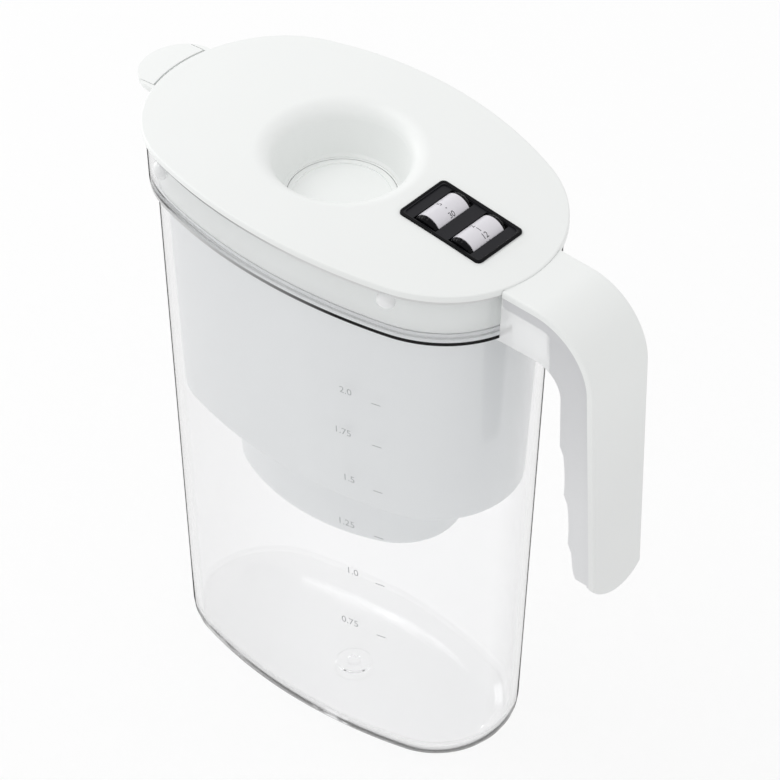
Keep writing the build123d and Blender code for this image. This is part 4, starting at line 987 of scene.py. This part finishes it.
def turned_wheel(name, side, body):
    """Spins the wheel's outline round its axle."""
    axis = middle + along * side * WHEEL_OFFSET - up * WHEEL_DROP
    outline = [*WHEEL_PROFILE, *[(-across, radius) for across, radius in WHEEL_PROFILE[::-1]]]
    rows = []
    for step in range(ROUND_STEPS):
        turn = 2 * math.pi * step / ROUND_STEPS
        out = up * math.cos(turn) + along * math.sin(turn)
        dip = SCALLOP_DEPTH * (0.5 + 0.5 * math.cos(SCALLOPS * turn)) ** 3
        row = []
        for y, radius in outline:
            dipped = radius - dip * max(radius - SCALLOP_FROM, 0) / SCALLOP_OVER
            row.append((axis + out * dipped + Vector((0, y, 0))) * MM)
        rows.append(row)
    return mesh_piece(name, rows, wheel_black, body)


for name, side in (("day", -1), ("month", 1)):
    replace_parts(turned_wheel(f"{name}_thumb_wheel", side, f"{name}_wheel"), f"{name}_wheel")

# %% Glossy frame of the tray
FRAME_HALF, FRAME_CORNER = (20.3, 12.85, 2.2), 0.6
FRAME_PROFILE = (
    (0.0, -0.35), (0.0, 0.3), (0.08, 0.55), (0.3, 0.72), (0.75, 0.78), (1.15, 0.7), (1.4, 0.5),
    (1.5, 0.15), (1.55, -0.5), (0.8, -0.5),
)


def round_corners(half_length, half_width, radius, steps=8):
    """Points round a rectangle with rounded corners."""
    for x, y, start in ((1, 1, 0), (-1, 1, 90), (-1, -1, 180), (1, -1, 270)):
        for step in range(steps + 1):
            a = math.radians(start + 90 * step / steps)
            yield (
                x * (half_length - radius) + radius * math.cos(a),
                y * (half_width - radius) + radius * math.sin(a),
            )


def on_dial(x, y, rise):
    """A point over the dial's middle, in the slope that the arched lid has there."""
    return (middle + along * x + up * rise + Vector((0, y, 0))) * MM


rows = []
for inset, rise in FRAME_PROFILE:
    half_length, half_width, radius = FRAME_HALF
    corner = max(radius - inset, FRAME_CORNER)
    outline = round_corners(half_length - inset, half_width - inset, corner)
    rows.append([on_dial(x, y, rise) for x, y in outline])
mesh_piece("dial_frame", rows, wheel_black, "lid")

# %% [markdown]
# The panel is a thin matt plate with a close-fitting opening for each wheel. It is made flat
# from its outline and two holes, then given its thickness with a Solidify modifier.

# %% Panel of the tray
PANEL_HALF, PANEL_TOP, PANEL_THICK = (18.9, 11.4, 0.9), -0.05, 0.3
OPENING_HALF = (5.55, 11.0, 0.6)
work = bmesh.new()
loops = [[*round_corners(*PANEL_HALF)]]
for side in (-1, 1):
    loops.append([(x + side * WHEEL_OFFSET, y) for x, y in round_corners(*OPENING_HALF)])
edges = []
for loop in loops:
    row = [work.verts.new(on_dial(x, y, PANEL_TOP)) for x, y in loop]
    edges += [work.edges.new((row[i - 1], row[i])) for i in range(len(row))]
bmesh.ops.triangle_fill(work, use_beauty=True, edges=edges, normal=up)
for face in work.faces:
    if face.normal.dot(up) < 0:
        face.normal_flip()
dial_panel = new_piece("dial_panel", work)
dial_panel.data.materials.append(dial_black)
thickness = dial_panel.modifiers.new("thickness", "SOLIDIFY")
thickness.thickness = PANEL_THICK * MM
thickness.offset = -1.0
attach(dial_panel, "lid")
print("dial_panel faces:", len(dial_panel.data.polygons))

# %% [markdown]
# ## Two soft lips
# Two joints look darker in CAD than on the real jug, because nothing closes them: the slit
# round the fill flap and the slit between the lid and the handle. A narrow white lip in each
# leaves a tenth of a millimetre to the moving part, as a close-fitting moulding would.

# %% Lip round the fill flap
BOWL_X, THROAT_STEPS = -6.1, 160
THROAT_LIP = ((21.25, 233.4), (21.25, 233.6), (21.45, 233.68), (22.15, 233.7), (22.15, 233.4))
turns = [2 * math.pi * step / THROAT_STEPS for step in range(THROAT_STEPS)]
rows = []
for radius, z in THROAT_LIP:
    circle = [(BOWL_X + radius * math.cos(turn), radius * math.sin(turn)) for turn in turns]
    rows.append([Vector((x, y, z)) * MM for x, y in circle])
mesh_piece("throat_lip", rows, flap_white, "lid")

# %% Lip of the handle's cover
LIP_HALF_ANGLE, LIP_STEPS = math.atan2(15.4, 89.0), 20
COVER_LIP = ((0.1, 2.6), (0.1, 0.5), (0.2, 0.38), (0.43, 0.35), (0.43, 2.6))
rows = []
for step in range(2 * LIP_STEPS + 1):
    angle = LIP_HALF_ANGLE * (step / LIP_STEPS - 1)
    row = []
    for outside, drop in COVER_LIP:
        out = oval_reach(LID_OVAL, -outside, angle)
        x, y = out * math.cos(angle), out * math.sin(angle)
        row.append(Vector((x, y, LID_TOP - arch_drop(x) - drop)) * MM)
    rows.append(row)
cover_lip = tube("cover_lip", rows, False)
cover_lip.data.materials.append(cover_white)
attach(cover_lip, "jug")
print("cover_lip faces:", len(cover_lip.data.polygons))

# %% [markdown]
# ## Studio
# A pale floor, an even sky and two large soft lamps, one above and one to the left. Two small
# weak ones only make the glints on the black plastic. The picture's ground is white, so rays
# that come straight from the camera, or by way of gloss or glass, see the floor and the sky as
# white. The floor is still partly a plain matt surface, so the jug's soft shadow stays.


# %% Rays that show the ground
def seen_node(tree):
    """Adds a 1 for rays straight from the camera or by way of gloss or glass, else a 0."""
    path = tree.nodes.new("ShaderNodeLightPath")
    seen = math_node(tree, "MAXIMUM", path.outputs["Is Camera Ray"], path.outputs["Is Glossy Ray"])
    return math_node(tree, "MAXIMUM", seen, path.outputs["Is Transmission Ray"])


# %% Floor
FLOOR_HALF, FLOOR_LEVEL, WHITE_SHARE = 8.0, -0.2 * MM, 0.8
corners = ((-FLOOR_HALF, -FLOOR_HALF), (FLOOR_HALF, -FLOOR_HALF))
corners += ((FLOOR_HALF, FLOOR_HALF), (-FLOOR_HALF, FLOOR_HALF))
floor_mesh = bpy.data.meshes.new("studio_floor")
floor_mesh.from_pydata([(x, y, FLOOR_LEVEL) for x, y in corners], [], [(0, 1, 2, 3)])
floor = bpy.data.objects.new("studio_floor", floor_mesh)
bpy.context.scene.collection.objects.link(floor)
matt = {"Base Color": (0.95, 0.95, 0.95, 1), "Roughness": 0.9, "Specular IOR Level": 0.0}
floor_paint, tree, shader = new_material("studio_floor", matt)
glow = add_node(tree, "Emission", {"Strength": 1.0})
share = math_node(tree, "MULTIPLY", seen_node(tree), WHITE_SHARE)
mix_surface(tree, share, shader.outputs["BSDF"], glow.outputs["Emission"])
floor_mesh.materials.append(floor_paint)
print("floor:", 2 * FLOOR_HALF, "m across")

# %% Sky
SKY_LIGHT, SKY_SEEN = 0.82, 1.0
world = bpy.data.worlds.new("studio_sky")
bpy.context.scene.world = world
world.use_nodes = True
tree = world.node_tree
span = {"Value": seen_node(tree), "To Min": SKY_LIGHT, "To Max": SKY_SEEN}
level = add_node(tree, "MapRange", span).outputs["Result"]
fill(tree, tree.nodes["Background"], {"Color": (1, 1, 1, 1), "Strength": level})
print("sky:", world.name)


# %% Lamps
def soft_lamp(name, place, aim, size, watts):
    """A square area lamp that points from place to aim."""
    data = bpy.data.lights.new(name, "AREA")
    data.size = size
    data.energy = watts
    lamp = bpy.data.objects.new(name, data)
    lamp.location = place
    lamp.rotation_mode = "QUATERNION"
    lamp.rotation_quaternion = (Vector(aim) - Vector(place)).to_track_quat("-Z", "Y")
    bpy.context.scene.collection.objects.link(lamp)
    return lamp


soft_lamp("key_lamp", (-1.0, -0.3, 1.7), (0, 0, 0.15), 0.8, 5.0)
soft_lamp("side_lamp", (-2.1, -0.2, 0.5), (0, 0, 0.15), 1.2, 9.5)
soft_lamp("edge_spark", (-1.02, -0.56, 1.83), (0, 0, 0.25), 0.07, 0.4)
soft_lamp("back_spark", (-1.5, 1.1, 0.85), (0, 0, 0.25), 0.07, 0.3)
print("lamps:", [light.name for light in bpy.data.lights])

# %% [markdown]
# ## Camera
# The photograph was taken from far away with a long lens, so the jug's upright lines stay
# almost parallel. The camera stands 42 degrees round from the near side, 40.5 degrees up.

# %% Camera
AZIMUTH, ELEVATION = math.radians(41.96), math.radians(40.52)
TARGET = Vector((33.64, -17.37, 170.73)) * MM
DISTANCE, FAR_END = 4.42974, 50.0
SENSOR, PHOTO_WIDTH, FOCAL_PIXELS = 36.0, 780.0, 11770.84
flat = math.cos(ELEVATION)
back = Vector((math.sin(AZIMUTH) * flat, -math.cos(AZIMUTH) * flat, math.sin(ELEVATION)))
lens = bpy.data.cameras.new("camera")
lens.sensor_width = SENSOR
lens.lens = FOCAL_PIXELS * SENSOR / PHOTO_WIDTH
lens.clip_end = FAR_END
camera = bpy.data.objects.new("camera", lens)
camera.location = TARGET + back * DISTANCE
camera.rotation_mode = "QUATERNION"
camera.rotation_quaternion = (-back).to_track_quat("-Z", "Y")
bpy.context.scene.collection.objects.link(camera)
bpy.context.scene.camera = camera
bpy.context.scene.view_settings.view_transform = "Standard"
print("lens:", round(lens.lens, 1), "mm")

# %% [markdown]
# A ray through the jug crosses up to eight clear surfaces and may run along inside a wall, so
# it is allowed many bends before it is given up as black.

# %% Bends of light
MOST_BENDS, GLOSSY_BENDS = 32, 16
bpy.context.scene.cycles.max_bounces = MOST_BENDS
bpy.context.scene.cycles.glossy_bounces = GLOSSY_BENDS
bpy.context.scene.cycles.transmission_bounces = MOST_BENDS
print("bends:", MOST_BENDS, "at most")
